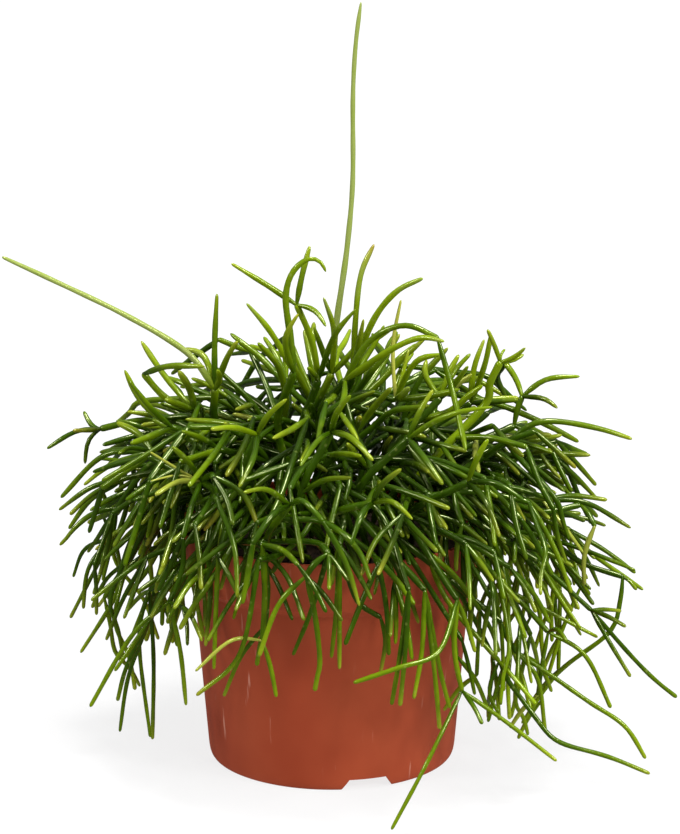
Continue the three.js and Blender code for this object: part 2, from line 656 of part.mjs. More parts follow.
// A whorl of shoots at one of a stem's points. The new shoots are returned.
function growWhorl(spray, stem, index, whorl) {
  const fork = stem.points[index];
  const heading = fork.clone().sub(stem.points[index - 1]).normalize();
  const firstTurn = spray.draw(0, 2 * Math.PI);
  const usual = interpolate(
    [[WHORL_TOP, whorl.top], [WHORL_SIDE, whorl.side]],
    Math.max(crownAngle(fork), WHORL_TOP),
  );
  const count = Math.round(usual * spray.fullness);
  const grown = [];
  for (let i = 0; i < count; i += 1) {
    for (let attempt = 0; attempt < SHOOT_TRIES; attempt += 1) {
      const jitter = spray.draw(-TURN_JITTER, TURN_JITTER);
      const turn = firstTurn + ((i + jitter) * 2 * Math.PI) / count;
      const share = 1 - ((1 - LAST_TRY_SHARE) * attempt) / SHOOT_TRIES;
      const points = newShoot(fork, heading, turn, spray.draw(...whorl.length) * share, spray.draw);
      if (insideMound(points[2]) && place(spray, points, whorl.radius, [fork])) {
        grown.push(spray.stems[spray.stems.length - 1]);
        break;
      }
    }
  }
  return grown;
}

// ---------------------------------------------------------------- the plant

const FOOT_PULL = 0.55;            // a foot's distance from the axis, as a share of its fork's
const LOWEST_AIM = 106;            // degrees from the zenith, for the sprays that hang lowest
const AIM_JITTER = 9;              // degrees
const SPRAY_TURN_JITTER = 0.2;     // radians
const BACK_FULLER = 0.45;          // how strongly the sprays placed by rule crowd to the back
const FORK_DISTANCE = [            // degrees from the zenith -> the first fork's distance
  [0, 40],
  [60, 50],
  [100, 64],
  [120, 70],
];
const FORK_DISTANCE_SHARE = [0.8, 1.05];

const freeFeet = Array.from({ length: FEET }, (_, index) => footPlace(index));

// The space just over every foot is kept free for its own stalk.
for (const foot of freeFeet) {
  const surface = soilHeight(...foot);
  const rises = [0, FOOT_HEIGHT, 2 * FOOT_HEIGHT];
  occupy(rises.map((rise) => vector(...foot, surface + rise)), STALK_RADIUS, foot);
}

function takeFootBelow(fork) {
  const pull = Math.min(FOOT_PULL, FEET_RADIUS / Math.hypot(fork.x, fork.y));
  const away = ([x, y]) => Math.hypot(x - fork.x * pull, y - fork.y * pull);
  freeFeet.sort((a, b) => away(a) - away(b));
  return freeFeet.shift();
}

const same = (a, b) => a.distanceTo(b) < 0.01;
const lastOf = (points) => points[points.length - 1];

function handPlacedSpray(rows, index) {
  const shoots = rows.map((row) => row.map((point) => vector(...point)));
  const stems = shoots.map((points) => {
    const forked = shoots.some(([start]) => same(start, lastOf(points)));
    return { points, radius: forked ? SHOOT_RADIUS : TIP_SHOOT_RADIUS };
  });
  const spray = { stems, fullness: HAND_FULLNESS, draw: makeDraw(1000 + index) };
  for (const { points, radius } of stems) occupy(points, radius, spray);
  return spray;
}

// The points that shoots start from and that no other shoot of the spray ends at.
function openForks(stems) {
  const starts = stems.map(({ points }) => points[0]);
  const open = starts.filter((start) => !stems.some(({ points }) => same(lastOf(points), start)));
  return open.filter((start, index) => open.findIndex((other) => same(other, start)) === index);
}

// Gives a hand-placed spray its stalk, and branches from it to the other forks.
function rootSpray(spray) {
  const shoots = spray.stems;
  const [fork, ...others] = openForks(shoots);
  spray.foot = takeFootBelow(fork);
  spray.stems = [];
  raiseStalk(spray, fork);
  for (const other of others) branchTo(spray, other);
  spray.growing = [...spray.stems];
  spray.stems.push(...shoots);
}

// A point for the first fork of a rule-placed spray, on a spiral from the mound's top to its foot.
function spiralFork(index, count, draw) {
  const lowest = Math.cos(THREE.MathUtils.degToRad(LOWEST_AIM));
  const even = THREE.MathUtils.radToDeg(Math.acos(1 - ((index + 0.5) / count) * (1 - lowest)));
  const aim = even + draw(-AIM_JITTER, AIM_JITTER);
  const evenTurn = index * GOLDEN_TURN + draw(-SPRAY_TURN_JITTER, SPRAY_TURN_JITTER);
  const turn = evenTurn + BACK_FULLER * Math.cos(evenTurn);
  const distance = interpolate(FORK_DISTANCE, aim) * draw(...FORK_DISTANCE_SHARE);
  const slope = THREE.MathUtils.degToRad(aim);
  const level = Math.sin(slope) * distance;
  const rise = Math.cos(slope) * distance;
  return vector(level * Math.cos(turn), level * Math.sin(turn), CROWN_HEIGHT + rise);
}

function rulePlacedSpray(index, count) {
  const spray = { stems: [], fullness: RULE_FULLNESS, draw: makeDraw(5000 + index) };
  for (let attempt = 0; attempt < SHOOT_TRIES && spray.stems.length === 0; attempt += 1) {
    const fork = spiralFork(index, count, spray.draw);
    spray.foot ??= takeFootBelow(fork);
    raiseStalk(spray, fork);
  }
  spray.growing = [...spray.stems];
  return spray;
}

function plantSprays() {
  const placed = Object.values(HAND_PLACED).map(handPlacedSpray);
  placed.forEach(rootSpray);
  const count = freeFeet.length;
  const ruled = Array.from({ length: count }, (_, index) => rulePlacedSpray(index, count));
  for (const spray of placed) {
    const halfway = spray.growing.flatMap((stem) => growWhorl(spray, stem, 1, HALFWAY_WHORL));
    spray.growing.push(...halfway);
  }
  const sprays = [...placed, ...ruled];
  for (const whorl of END_WHORLS) {
    for (const spray of sprays) {
      spray.growing = spray.growing.flatMap((stem) => growWhorl(spray, stem, 2, whorl));
    }
  }
  return sprays.filter(({ stems }) => stems.length > 0);
}

// ---------------------------------------------------------------- stem solids

// A path through given rings, for an extrusion that puts one of its outlines at each of them.
class RingPath extends THREE.Curve {
  constructor(rings) {
    super();
    this.rings = rings;
  }

  getSpacedPoints() {
    return this.rings;
  }

  getTangentAt(share) {
    const last = this.rings.length - 1;
    const index = Math.round(share * last);
    const ring = this.rings[index];
    const tangent = new THREE.Vector3();
    if (index > 0) tangent.add(ring.clone().sub(this.rings[index - 1]).normalize());
    if (index < last) tangent.add(this.rings[index + 1].clone().sub(ring).normalize());
    return tangent.normalize();
  }
}

// Points along a stem, closer together the more it bends.
function ringsOf(points) {
  let bend = 0;
  for (let i = 2; i < points.length; i += 1) {
    const before = points[i - 1].clone().sub(points[i - 2]);
    bend += before.angleTo(points[i].clone().sub(points[i - 1]));
  }
  const steps = Math.ceil(Math.sqrt((pathLength(points) * bend) / (8 * CHORD_SAG)));
  return stemCurve(points).getPoints(Math.max(1, steps));
}

// The rings of a stem, of the straightest shoot at its end, and so on to a tip.
function tubeRings(stem, stems, used) {
  used.add(stem);
  const rings = ringsOf(stem.points);
  const end = lastOf(stem.points);
  const heading = end.clone().sub(stem.points[stem.points.length - 2]);
  const bend = ({ points }) => points[1].clone().sub(points[0]).angleTo(heading);
  const next = stems.filter((other) => !used.has(other) && same(other.points[0], end));
  next.sort((a, b) => bend(a) - bend(b));
  return next.length ? [...rings, ...tubeRings(next[0], stems, used).slice(1)] : rings;
}

// Draws one end of a tube together: the corners round that end move in towards it.
function pinch(geometry, end, reach, share) {
  const positions = geometry.attributes.position;
  const corner = new THREE.Vector3();
  for (let i = 0; i < positions.count; i += 1) {
    corner.fromBufferAttribute(positions, i);
    if (corner.distanceTo(end) < reach) corner.lerp(end, 1 - share);
    positions.setXYZ(i, corner.x, corner.y, corner.z);
  }
}

function tubeSolid(rings, radius, rootShare) {
  const corner = radius * CORNER_FACTOR;
  const side = corner * Math.SQRT1_2;
  const outline = [[side, side], [-side, side], [-side, -side], [side, -side]];
  const shape = new THREE.Shape(outline.map(([x, y]) => new THREE.Vector2(x, y)));
  const extrudePath = new RingPath(rings);
  const steps = rings.length - 1;
  const geometry = new THREE.ExtrudeGeometry(shape, { steps, extrudePath, bevelEnabled: false });
  pinch(geometry, rings[0], 1.01 * corner, rootShare);
  pinch(geometry, lastOf(rings), 1.01 * corner, TIP_SHARE);
  return toSolid(geometry);
}

function spraySolid({ foot: [x, y], stems }) {
  const used = new Set();
  const foot = vector(x, y, soilHeight(x, y) - FOOT_DEPTH);
  let solid = tubeSolid([foot, ...tubeRings(stems[0], stems, used)], STALK_RADIUS, 1);
  for (const stem of stems) {
    if (used.has(stem)) continue;
    solid = solid.add(tubeSolid(tubeRings(stem, stems, used), stem.radius, ROOT_SHARE));
  }
  return solid;
}

// ---------------------------------------------------------------- the whole part

const TERRACOTTA = { color: 0xa1492c, roughness: 0.5, metalness: 0 };
const PEAT = { color: 0x2a1c12, roughness: 1, metalness: 0 };
const STEM_GREENS = [0x3c5f12, 0x4a7317, 0x55831c, 0x2f4d0e, 0x6a9426];

function mesh(name, solid, finish) {
  const part = new THREE.Mesh(toGeometry(solid), new THREE.MeshStandardMaterial(finish));
  part.name = name;
  return part;
}

const cactus = new THREE.Group();
cactus.name = "mistletoe_cactus";
cactus.add(mesh("pot", potSolid(), TERRACOTTA));
const sprays = plantSprays();
cactus.add(mesh("soil", soilSolid(sprays.map(({ foot }) => foot)), PEAT));
sprays.forEach((spray, index) => {
  const name = `spray_${String(index + 1).padStart(2, "0")}`;
  const color = STEM_GREENS[index % STEM_GREENS.length];
  cactus.add(mesh(name, spraySolid(spray), { color, roughness: 0.4, metalness: 0 }));
});

export default cactus;
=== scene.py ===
"""The looks of a mistletoe cactus in a 12 cm nursery pot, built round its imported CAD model.

The sprays grow here as they do in the CAD source, by the same sizes, rules and seeded draws,
so each finer piece keeps its node's form. Then more shoots grow between them.
Growth is worked out in millimetres, and the meshes are made in metres.
"""

import math

import bmesh
import bpy
import numpy as np
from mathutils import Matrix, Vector, noise


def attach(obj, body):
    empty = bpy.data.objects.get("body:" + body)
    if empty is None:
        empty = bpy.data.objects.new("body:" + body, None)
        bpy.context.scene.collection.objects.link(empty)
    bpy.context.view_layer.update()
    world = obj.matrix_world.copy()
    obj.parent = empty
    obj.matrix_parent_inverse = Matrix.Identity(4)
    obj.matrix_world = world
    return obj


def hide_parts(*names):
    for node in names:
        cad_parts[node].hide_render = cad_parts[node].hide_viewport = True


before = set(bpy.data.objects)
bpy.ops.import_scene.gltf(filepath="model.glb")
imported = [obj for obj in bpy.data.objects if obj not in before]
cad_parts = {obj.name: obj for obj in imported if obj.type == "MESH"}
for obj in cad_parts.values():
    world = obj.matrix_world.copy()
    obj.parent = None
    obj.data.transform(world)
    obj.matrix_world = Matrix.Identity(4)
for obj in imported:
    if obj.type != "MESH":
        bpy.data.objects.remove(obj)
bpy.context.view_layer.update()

MM = 0.001

# ------------------------------ sizes shared with the CAD source

POT_RADIUS = 60.0
POT_HEIGHT = 93.0
POT_WALL = 1.2
RIM_WIDTH = 1.6
COLLAR_FOOT = 74.0
COLLAR_TAPER = 2.2
LEDGE_DROP = 3.0
BODY_TOP_RADIUS = 53.8
BODY_FOOT_RADIUS = 47.8
FOOT_BEVEL = 1.2
FOOT_RING_WIDTH = 2.4
FLOOR_RISE = 5.8
FLOOR_THICKNESS = 1.4
PAD_RADIUS = 15.0
PAD_SLOPE = 3.5
NOTCH_COUNT = 3
NOTCH_FIRST = -73.2  # degrees round the pot
NOTCH_TOP_WIDTH = 14.5
NOTCH_FOOT_WIDTH = 21.6
NOTCH_HEIGHT = 4.2
NOTCH_BELOW = 1.0
DRAIN_COUNT = 6
DRAIN_RADIUS = 3.5
DRAIN_CIRCLE = 33.0

SOIL_GAP = 0.4
SOIL_EDGE_HEIGHT = 84.0
SOIL_TOP_HEIGHT = 89.0
SOIL_FALLS = ((25, 0.5), (50, 2.5))  # radius, and how far the heap has fallen there

STALK_RADIUS = 1.75
SHOOT_RADIUS = 1.5
TIP_SHOOT_RADIUS = 1.35

FEET = 58
FEET_RADIUS = 46.0
FOOT_HEIGHT = 3.2
GOLDEN_TURN = math.pi * (3 - math.sqrt(5))

DRAW_FACTOR = 48271
DRAW_MODULUS = 2147483647
HAND_SEED = 1000
RULE_SEED = 5000
CLEARANCE = 1.4
OWN_CLEARANCE = 0.2
POT_CLEARANCE = 0.8
FORK_ZONE = 9.0
SAMPLE_STEP = 2.5
CELL = 6.0
SAME_POINT = 0.01  # two points closer than this are one
STALK_TRIES = 240
SHOOT_TRIES = 24
LAST_TRY_SHARE = 0.6

CROWN_HEIGHT = 95.0
MOUND_REACH = 95.0
MOUND_RISE = 77.0
MOUND_DROPS = (56.0, 82.0)  # how far it hangs in front and at the sides
SIDE_START = 70.0
CLIMB = [(0, 62), (45, 18), (90, -32), (125, -68)]  # crown angle, and how steeply shoots climb

RIM_MARGIN = 6.0
RIM_HEADROOM = 14.0
ARCH_INSET = 3.0
ARCH_TURN = 0.45
ARCH_RISE = (6, 34)
STALK_BOW = 12
STALK_RISE = (-4, 10)
BRANCH_START = (0.3, 0.95)
BRANCH_BOW = 9
BRANCH_RISE = (-3, 9)

# Shoots at a fork on top of the mound and at its sides, their lengths, and how they leave it.
CAD_SHOOTS = {
    "open": (0.35, 0.95), "lift": (-26, 34), "veer": 0.9, "lean": 0.7, "bend": 0.8,
    "drops": MOUND_DROPS, "rise": MOUND_RISE,
}
FORKED_SHOOTS = {**CAD_SHOOTS, "radius": SHOOT_RADIUS}
TIP_SHOOTS = {**CAD_SHOOTS, "radius": TIP_SHOOT_RADIUS}
HALFWAY_WHORL = {"top": 0, "side": 1, "length": (24, 40), **FORKED_SHOOTS}
END_WHORLS = [
    {"top": 3, "side": 3, "length": (22, 38), **FORKED_SHOOTS},
    {"top": 1.4, "side": 2, "length": (16, 32), **TIP_SHOOTS},
    {"top": 0, "side": 1, "length": (14, 28), **TIP_SHOOTS},
]
WHORL_TOP = 40  # the crown angles that "top" and "side" stand for
WHORL_SIDE = 85
HAND_FULLNESS = 0.62
RULE_FULLNESS = 0.9
TURN_JITTER = 0.3
SIDE_TILT = 0.01  # gives a shoot that heads straight up a side to open to

FOOT_PULL = 0.55
LOWEST_AIM = 106
AIM_JITTER = 9
SPRAY_TURN_JITTER = 0.2
BACK_FULLER = 0.45
FORK_DISTANCE = [(0, 40), (60, 50), (100, 64), (120, 70)]
FORK_DISTANCE_SHARE = (0.8, 1.05)

YOUNG_SPRAYS = ("tall", "long_left")
DRY_SHOOTS = {("right_arcs", 4): 1.0, ("front_left", 3): 0.7}  # spray and shoot: how dry it is

# ------------------------------ sprays placed one by one

# Each row is a fork, then the shoots that start there, as the points that each runs through.
# A fork is the end of an earlier shoot of its spray, or a point that the spray's stalk reaches.
HAND_PLACED = {
    "front_crown": """
        0 -64 145: -5 -80 146, -11 -92 140; 2 -74 155, 7 -80 163; 7 -82 148, 15 -92 142
    """,
    "front_crown_left": """
        -27 -60 143: -35 -72 149, -43 -82 151; -28 -78 139, -33 -88 131; -23 -66 152, -16 -70 159
    """,
    "front_crown_right": """
        28 -62 142: 37 -68 150, 47 -72 155, 58 -74 157; 32 -62 152, 37 -60 160
        28 -62 142: 33 -78 140, 40 -88 132
    """,
    "front_brow_left": """
        -15 -80 122: -21 -92 122, -28 -98 113; -10 -94 128, -3 -100 122; -23 -90 131, -31 -98 132
        -1 -90 107: -6 -92 104, -9 -92 99
        -9 -92 99: -19 -94 89, -26 -96 70; -6 -90 85, -4 -88 66
        -4 -88 66: -5 -88 60, -6 -88 54
        -9 -92 99: -3 -96 94, 4 -98 84
        -1 -90 107: -7 -84 84, -14 -80 65
    """,
    "front_brow_right": """
        15 -80 123: 11 -94 123, 7 -100 113; 22 -92 127, 29 -98 122; 18 -88 132, 25 -92 139
        17 -84 101: 11 -88 88, 5 -92 73; 20 -80 84, 21 -80 65
        3 -80 107: 3 -82 87, 3 -84 61; 2 -76 83, 0 -74 62; 9 -72 84, 18 -72 77
        18 -72 77: 20 -72 68, 18 -72 55
    """,
    "right_brow": """
        50 -60 125: 60 -68 127, 70 -74 122; 56 -74 122, 61 -80 110; 53 -64 135, 57 -66 143
    """,
    "left_brow": """
        -48 -52 123: -56 -62 126, -64 -70 123; -51 -68 118, -54 -74 108; -52 -58 132, -58 -62 139
    """,
    "tall": """
        0 -4 152: 2 -4 173, 4 -4 187, 6 -3 202, 8 -2 226, 8 -1 257, 9 0 277, 11 1 293
        0 -4 152: 1 -9 170, -3 -14 184
    """,
    "top_left": """
        -5 -18 153: -7 -20 168, -13 -22 183
        -13 -22 183: -24 -24 191, -37 -28 200; -11 -22 194, -8 -20 205; -6 -26 182, -2 -32 177
        -5 -18 153: 1 -30 173, 9 -34 184
    """,
    "top_curl": """
        -14 -38 161: -15 -38 175, -17 -38 188
        -17 -38 188: -15 -38 198, -9 -38 204, -4 -38 203, -2 -38 199
        -14 -38 161: -22 -42 177, -31 -46 189; -17 -48 176, -12 -50 186
    """,
    "top_right": """
        8 -12 153: 9 -14 175, 11 -14 193, 16 -12 204; 15 -18 175, 24 -22 188, 34 -26 194
        8 -12 153: 10 -20 166, 12 -24 178; 15 -6 162, 20 -4 171
    """,
    "right_arcs": """
        5 -34 157: 14 -38 173, 27 -42 180, 39 -46 176; 20 -48 171, 32 -54 178, 41 -60 178
        24 -24 147: 27 -20 157, 29 -18 165; 31 -30 163, 41 -34 167; 23 -20 167, 26 -18 184
    """,
    "shoulder_stubs": """
        41 -18 146: 44 -16 155, 48 -14 162; 46 -24 153, 51 -28 161; 35 -14 154, 36 -10 159
        53 -6 141: 54 -4 154, 58 -2 165; 58 -10 157, 60 -12 169
    """,
    "star": """
        57 -24 144: 59 -25 153, 63 -26 162
        63 -26 162: 61 -26 168, 58 -28 175; 63 -24 165, 65 -22 166; 68 -28 164, 72 -32 169
        63 -26 162: 68 -24 162, 72 -22 164
    """,
    "right_high": """
        70 2 130: 71 3 136, 73 4 141
        73 4 141: 82 4 148, 95 4 149; 81 -2 142, 86 -6 139; 71 8 147, 67 12 152
    """,
    "right_long": """
        68 -14 129: 76 -14 135, 86 -14 136, 102 -14 133, 114 -14 129; 78 -8 127, 88 -4 128
        68 -14 129: 76 -20 128, 83 -26 127
    """,
    "right_mid": """
        73 14 114: 87 16 111, 97 18 102; 85 10 107, 94 6 100; 86 20 102, 97 26 97
    """,
    "right_out": """
        80 -22 107: 91 -18 108, 105 -14 105; 96 -24 107, 113 -28 98
        94 -24 106: 97 -28 104, 99 -32 100
        84 8 93: 91 10 93, 97 12 92; 96 4 93, 106 2 90
    """,
    "right_fan": """
        84 -4 94: 103 -6 84, 117 -8 74; 101 -12 82, 119 -20 71
        84 -20 91: 98 -30 89, 114 -40 85; 94 -26 84, 110 -32 80
        110 -32 80: 113 -34 79, 115 -36 76; 109 -34 71, 105 -36 59
    """,
    "right_low": """
        77 -44 90: 87 -46 81, 97 -48 72
        97 -48 72: 104 -50 60, 112 -52 47; 112 -42 53, 122 -40 42, 131 -38 34
        97 -48 72: 103 -44 71, 109 -40 69; 103 -56 72, 109 -62 70
        67 -40 77: 83 -36 67, 101 -32 56; 74 -46 71, 81 -50 64
        81 -50 64: 95 -50 55, 105 -50 34; 84 -58 68, 87 -64 65
    """,
    "right_trail": """
        63 -56 70: 65 -56 64, 69 -56 58
        69 -56 58: 82 -56 49, 97 -56 38
        97 -56 38: 110 -56 29, 118 -56 16
        69 -56 58: 77 -57 48, 80 -57 27; 78 -50 51, 83 -46 39
        62 -66 58: 65 -66 51, 70 -66 44
        70 -66 44: 76 -67 36, 84 -68 27
        84 -68 27: 102 -66 21, 119 -64 13
        62 -66 58: 58 -68 47, 62 -70 39; 69 -74 52, 75 -80 46
    """,
    "front_floor": """
        46 -76 85: 45 -76 66, 48 -76 50
        48 -76 50: 35 -92 28, 22 -95 3; 65 -78 38, 83 -80 24; 52 -84 47, 55 -90 42
        46 -76 85: 39 -94 71, 25 -99 67, 8 -99 61
    """,
    "front_right": """
        34 -80 90: 38 -76 56, 40 -73 34; 40 -69 56, 44 -64 39; 33 -84 68, 30 -88 51
        28 -90 93: 27 -90 72, 25 -90 49; 25 -88 68, 22 -86 48
    """,
    "front_left": """
        -25 -82 108: -24 -84 91, -25 -84 72
        -25 -84 72: -22 -85 62, -20 -86 51
        -25 -82 108: -23 -76 91, -24 -72 74
        -25 -84 72: -36 -92 75, -49 -95 64
        -26 -88 104: -33 -90 69, -49 -90 53
    """,
    "front_left_hang": """
        -41 -78 102: -42 -78 82, -43 -78 59; -46 -70 91, -51 -66 80; -36 -84 95, -33 -88 89
    """,
    "left_fork": """
        -46 -56 100: -54 -58 89, -60 -60 79
        -60 -60 79: -74 -60 66, -90 -60 38; -56 -62 61, -54 -64 40; -52 -75 80, -47 -82 71
    """,
    "left_low": """
        -56 -44 90: -63 -46 79, -68 -48 68
        -68 -48 68: -74 -52 60, -81 -54 50; -77 -44 49, -81 -42 34; -77 -36 42, -81 -32 18
        -69 -30 74: -73 -34 56, -69 -38 18; -68 -26 45, -69 -24 12
    """,
    "left_dark": """
        -78 -12 80: -84 -12 64, -97 -12 43; -81 -18 70, -83 -22 58; -87 -6 71, -93 -2 58
        -86 12 82: -94 14 66, -103 16 48; -95 8 71, -97 6 55; -97 18 76, -102 22 63
    """,
    "left_arcs": """
        -68 -14 124: -83 -16 120, -94 -18 112; -87 -8 121, -104 -4 103; -76 -22 128, -80 -28 127
        -82 -12 101: -91 -13 100, -99 -14 93
        -99 -14 93: -101 -14 90, -104 -14 87
        -81 6 107: -93 8 104, -106 10 94; -92 2 103, -101 0 95; -94 14 97, -103 18 84
    """,
    "left_star": """
        -58 16 127: -74 18 128, -90 20 124
        -90 20 124: -100 20 123, -111 20 116; -94 24 124, -97 28 129; -95 18 120, -96 16 111
        -90 20 124: -94 14 125, -100 10 126
    """,
    "left_high": """
        -52 -8 138: -63 -10 144, -71 -12 154
        -71 -12 154: -61 -24 160, -47 -33 162
        -52 -8 138: -64 2 150, -73 8 162
        -60 -26 137: -71 -28 147, -77 -30 160; -67 -34 146, -75 -38 158
    """,
    "long_left": """
        -44 -16 149: -54 -16 163, -76 -16 177, -102 -16 190, -123 -16 200; -44 -14 166, -43 -12 185
        -44 -16 149: -39 -22 163, -35 -26 170; -48 -8 160, -56 -4 162
    """,
}


def read_points(text):
    """The points of a text such as "1 2 3, 4 5 6"."""
    return [tuple(int(value) for value in point.split()) for point in text.split(",")]


def read_shoots(rows):
    """Each shoot of a listed spray: its fork, then the points that it runs through."""
    shoots = []
    for row in rows.strip().splitlines():
        fork, starting = row.split(":")
        shoots += [read_points(fork) + read_points(shoot) for shoot in starting.split(";")]
    return shoots


# ------------------------------ points in millimetres


def add(a, b, share=1.0):
    """a plus a share of b."""
    return (a[0] + share * b[0], a[1] + share * b[1], a[2] + share * b[2])


def minus(a, b):
    return (a[0] - b[0], a[1] - b[1], a[2] - b[2])


def dot(a, b):
    return a[0] * b[0] + a[1] * b[1] + a[2] * b[2]


def cross(a, b):
    return (a[1] * b[2] - a[2] * b[1], a[2] * b[0] - a[0] * b[2], a[0] * b[1] - a[1] * b[0])


def size(a):
    return math.sqrt(dot(a, a))


def unit(a):
    length = size(a)
    return (a[0] / length, a[1] / length, a[2] / length)


def scaled(a, factor):
    return (a[0] * factor, a[1] * factor, a[2] * factor)


def turned_about(a, axis, turn):
    """a turned about a unit axis."""
    along = scaled(axis, dot(axis, a) * (1 - math.cos(turn)))
    return add(add(scaled(a, math.cos(turn)), cross(axis, a), math.sin(turn)), along)


def polar(radius, turn):
    """x and y at a radius, turned from the X axis."""
    return (radius * math.cos(turn), radius * math.sin(turn))


def turned(x, y, turn):
    """x and y turned about the Z axis."""
    cos, sin = math.cos(turn), math.sin(turn)
    return (x * cos - y * sin, x * sin + y * cos)


def direction(turn, climb):
    """The unit way at a turn from the X axis and a climb above level."""
    return (*polar(math.cos(climb), turn), math.sin(climb))


def interpolate(table, x):
    """The value that a table of (x, y) rows gives at an x between its rows."""
    for (x0, y0), (x1, y1) in zip(table, table[1:]):
        if x <= x1:
            return y0 + (y1 - y0) * (x - x0) / (x1 - x0)
    return table[-1][1]


def make_draw(seed):
    """Seeded random draws between two values, the same in any language."""
    state = seed

    def draw(low, high):
        nonlocal state
        state = (state * DRAW_FACTOR) % DRAW_MODULUS
        return low + ((high - low) * state) / DRAW_MODULUS

    return draw


# ------------------------------ pot and soil, as sizes

collar_foot_radius = POT_RADIUS - COLLAR_TAPER
ledge_foot = COLLAR_FOOT - LEDGE_DROP
ring_inner_radius = BODY_FOOT_RADIUS - FOOT_RING_WIDTH
floor_top = FLOOR_RISE + FLOOR_THICKNESS
collar_inside = [
    (COLLAR_FOOT + POT_WALL, collar_foot_radius - POT_WALL),
    (POT_HEIGHT, POT_RADIUS - RIM_WIDTH),
]
soil_surface = [
    (0, SOIL_TOP_HEIGHT),
    *((radius, SOIL_TOP_HEIGHT - fall) for radius, fall in SOIL_FALLS),
    (interpolate(collar_inside, SOIL_EDGE_HEIGHT) - SOIL_GAP, SOIL_EDGE_HEIGHT),
]


def soil_height(x, y):
    return interpolate(soil_surface, math.sqrt(x * x + y * y))


# ------------------------------ stem paths and their clearance


class Stem:
    """One segment of a spray."""

    def __init__(self, points, radius, dryness=0):
        self.points = points
        self.radius = radius
        self.dryness = dryness


class Spray:
    """A stalk in its own hole, with all that grows on it."""

    def __init__(self, seed, fullness):
        self.stems = []
        self.growing = []
        self.draw = make_draw(seed)
        self.fullness = fullness
        self.clearance = CLEARANCE
        self.swell = 1
        self.name = None
        self.foot = None


def path_length(points):
    return sum(size(minus(b, a)) for a, b in zip(points, points[1:]))


def stem_point(points, share):
    """A point of the smooth curve through a stem's points, at a share from its start."""
    last = len(points) - 1
    place = last * share
    i = min(int(place), last - 1)
    t = place - i
    p1, p2 = points[i], points[i + 1]
    p0 = points[i - 1] if i > 0 else add(p1, minus(p1, p2))
    p3 = points[i + 2] if i + 2 <= last else add(p2, minus(p2, p1))
    found = []
    for a, b, c, d in zip(p0, p1, p2, p3):
        start, end = 0.5 * (c - a), 0.5 * (d - b)
        square = -3 * b + 3 * c - 2 * start - end
        cube = 2 * b - 2 * c + start + end
        found.append(b + start * t + square * t * t + cube * t * t * t)
    return tuple(found)


def sample_path(points):
    count = math.ceil(path_length(points) / SAMPLE_STEP)
    return [stem_point(points, i / count) for i in range(count + 1)]


occupied = {}  # cell -> [(point, radius, owner)], the owner a spray or the foot it is kept free for


def cell_of(point):
    return tuple(math.floor(value / CELL) for value in point)


def occupy(points, radius, owner):
    """Notes that a stem fills its path, so that others keep clear of it."""
    for point in sample_path(points):
        occupied.setdefault(cell_of(point), []).append((point, radius, owner))


def near(point):
    """All that fills the cells round a point."""
    i, j, k = cell_of(point)
    for a in (i - 1, i, i + 1):
        for b in (j - 1, j, j + 1):
            for c in (k - 1, k, k + 1):
                yield from occupied.get((a, b, c), ())


def meets_pot(point, radius):
    """Whether a stem meets the pot, the soil or the ground at a point of its path."""
    x, y, z = point
    gap = radius + POT_CLEARANCE
    reach = math.hypot(x, y)
    if z < gap:
        return True
    if z > POT_HEIGHT + gap or reach > POT_RADIUS + gap:
        return False
    if z < ledge_foot - gap and reach > BODY_TOP_RADIUS + gap:
        return False
    inside = reach < collar_foot_radius - POT_WALL - radius
    return not (inside and z > soil_height(x, y) + radius)


def is_clear(points, radius, spray, forks):
    """Whether a stem has room. Near the forks at its ends it may touch its own spray."""
    for sample in sample_path(points):
        if meets_pot(sample, radius):
            return False
        at_fork = any(size(minus(fork, sample)) < FORK_ZONE for fork in forks)
        for point, other_radius, owner in near(sample):
            own = owner is spray
            if (own and at_fork) or owner is spray.foot:
                continue
            least = radius + other_radius + (OWN_CLEARANCE if own else spray.clearance)
            if size(minus(point, sample)) < least:
                return False
    return True


# ------------------------------ the mound that shoots fill


def crown_angle(point):
    return math.degrees(math.atan2(math.hypot(point[0], point[1]), point[2] - CROWN_HEIGHT))


def lean(point, lift, veer):
    """The way that shoots lean at a point: up on top, level at the shoulder, then hanging."""
    climb = math.radians(interpolate(CLIMB, crown_angle(point)) + lift)
    turn = math.atan2(point[1], point[0]) + veer
    return direction(turn, climb)


def mound_place(point, swell, drops, top):
    """How far out in the mound a point is, squared: 0 at its middle and 1 on its surface."""
    height = (point[2] - CROWN_HEIGHT) / swell
    reach = math.hypot(point[0], point[1]) / (MOUND_REACH * swell)
    aside = min(abs(point[0]) / SIDE_START, 1)
    drop = drops[0] + (drops[1] - drops[0]) * aside
    rise = height / (top if height > 0 else drop)
    return reach * reach + rise * rise


# ------------------------------ stalks


def place(spray, points, radius, forks):
    """Keeps a stem if it has room."""
    if not is_clear(points, radius, spray, forks):
        return None
    occupy(points, radius, spray)
    stem = Stem(points, radius)
    spray.stems.append(stem)
    return stem


def bowed(start, fork, bow, rise, draw):
    """A stem from start to fork, bowed by chance."""
    middle = add(start, minus(fork, start), 0.5)
    return [start, add(middle, (draw(-bow, bow), draw(-bow, bow), draw(*rise))), fork]


def arched(start, fork, draw):
    """A stalk that climbs over the rim before it comes down to its fork."""
    turn = math.atan2(fork[1], fork[0]) + draw(-ARCH_TURN, ARCH_TURN)
    height = POT_HEIGHT + draw(*ARCH_RISE)
    return [start, (*polar(POT_RADIUS - ARCH_INSET, turn), height), fork]


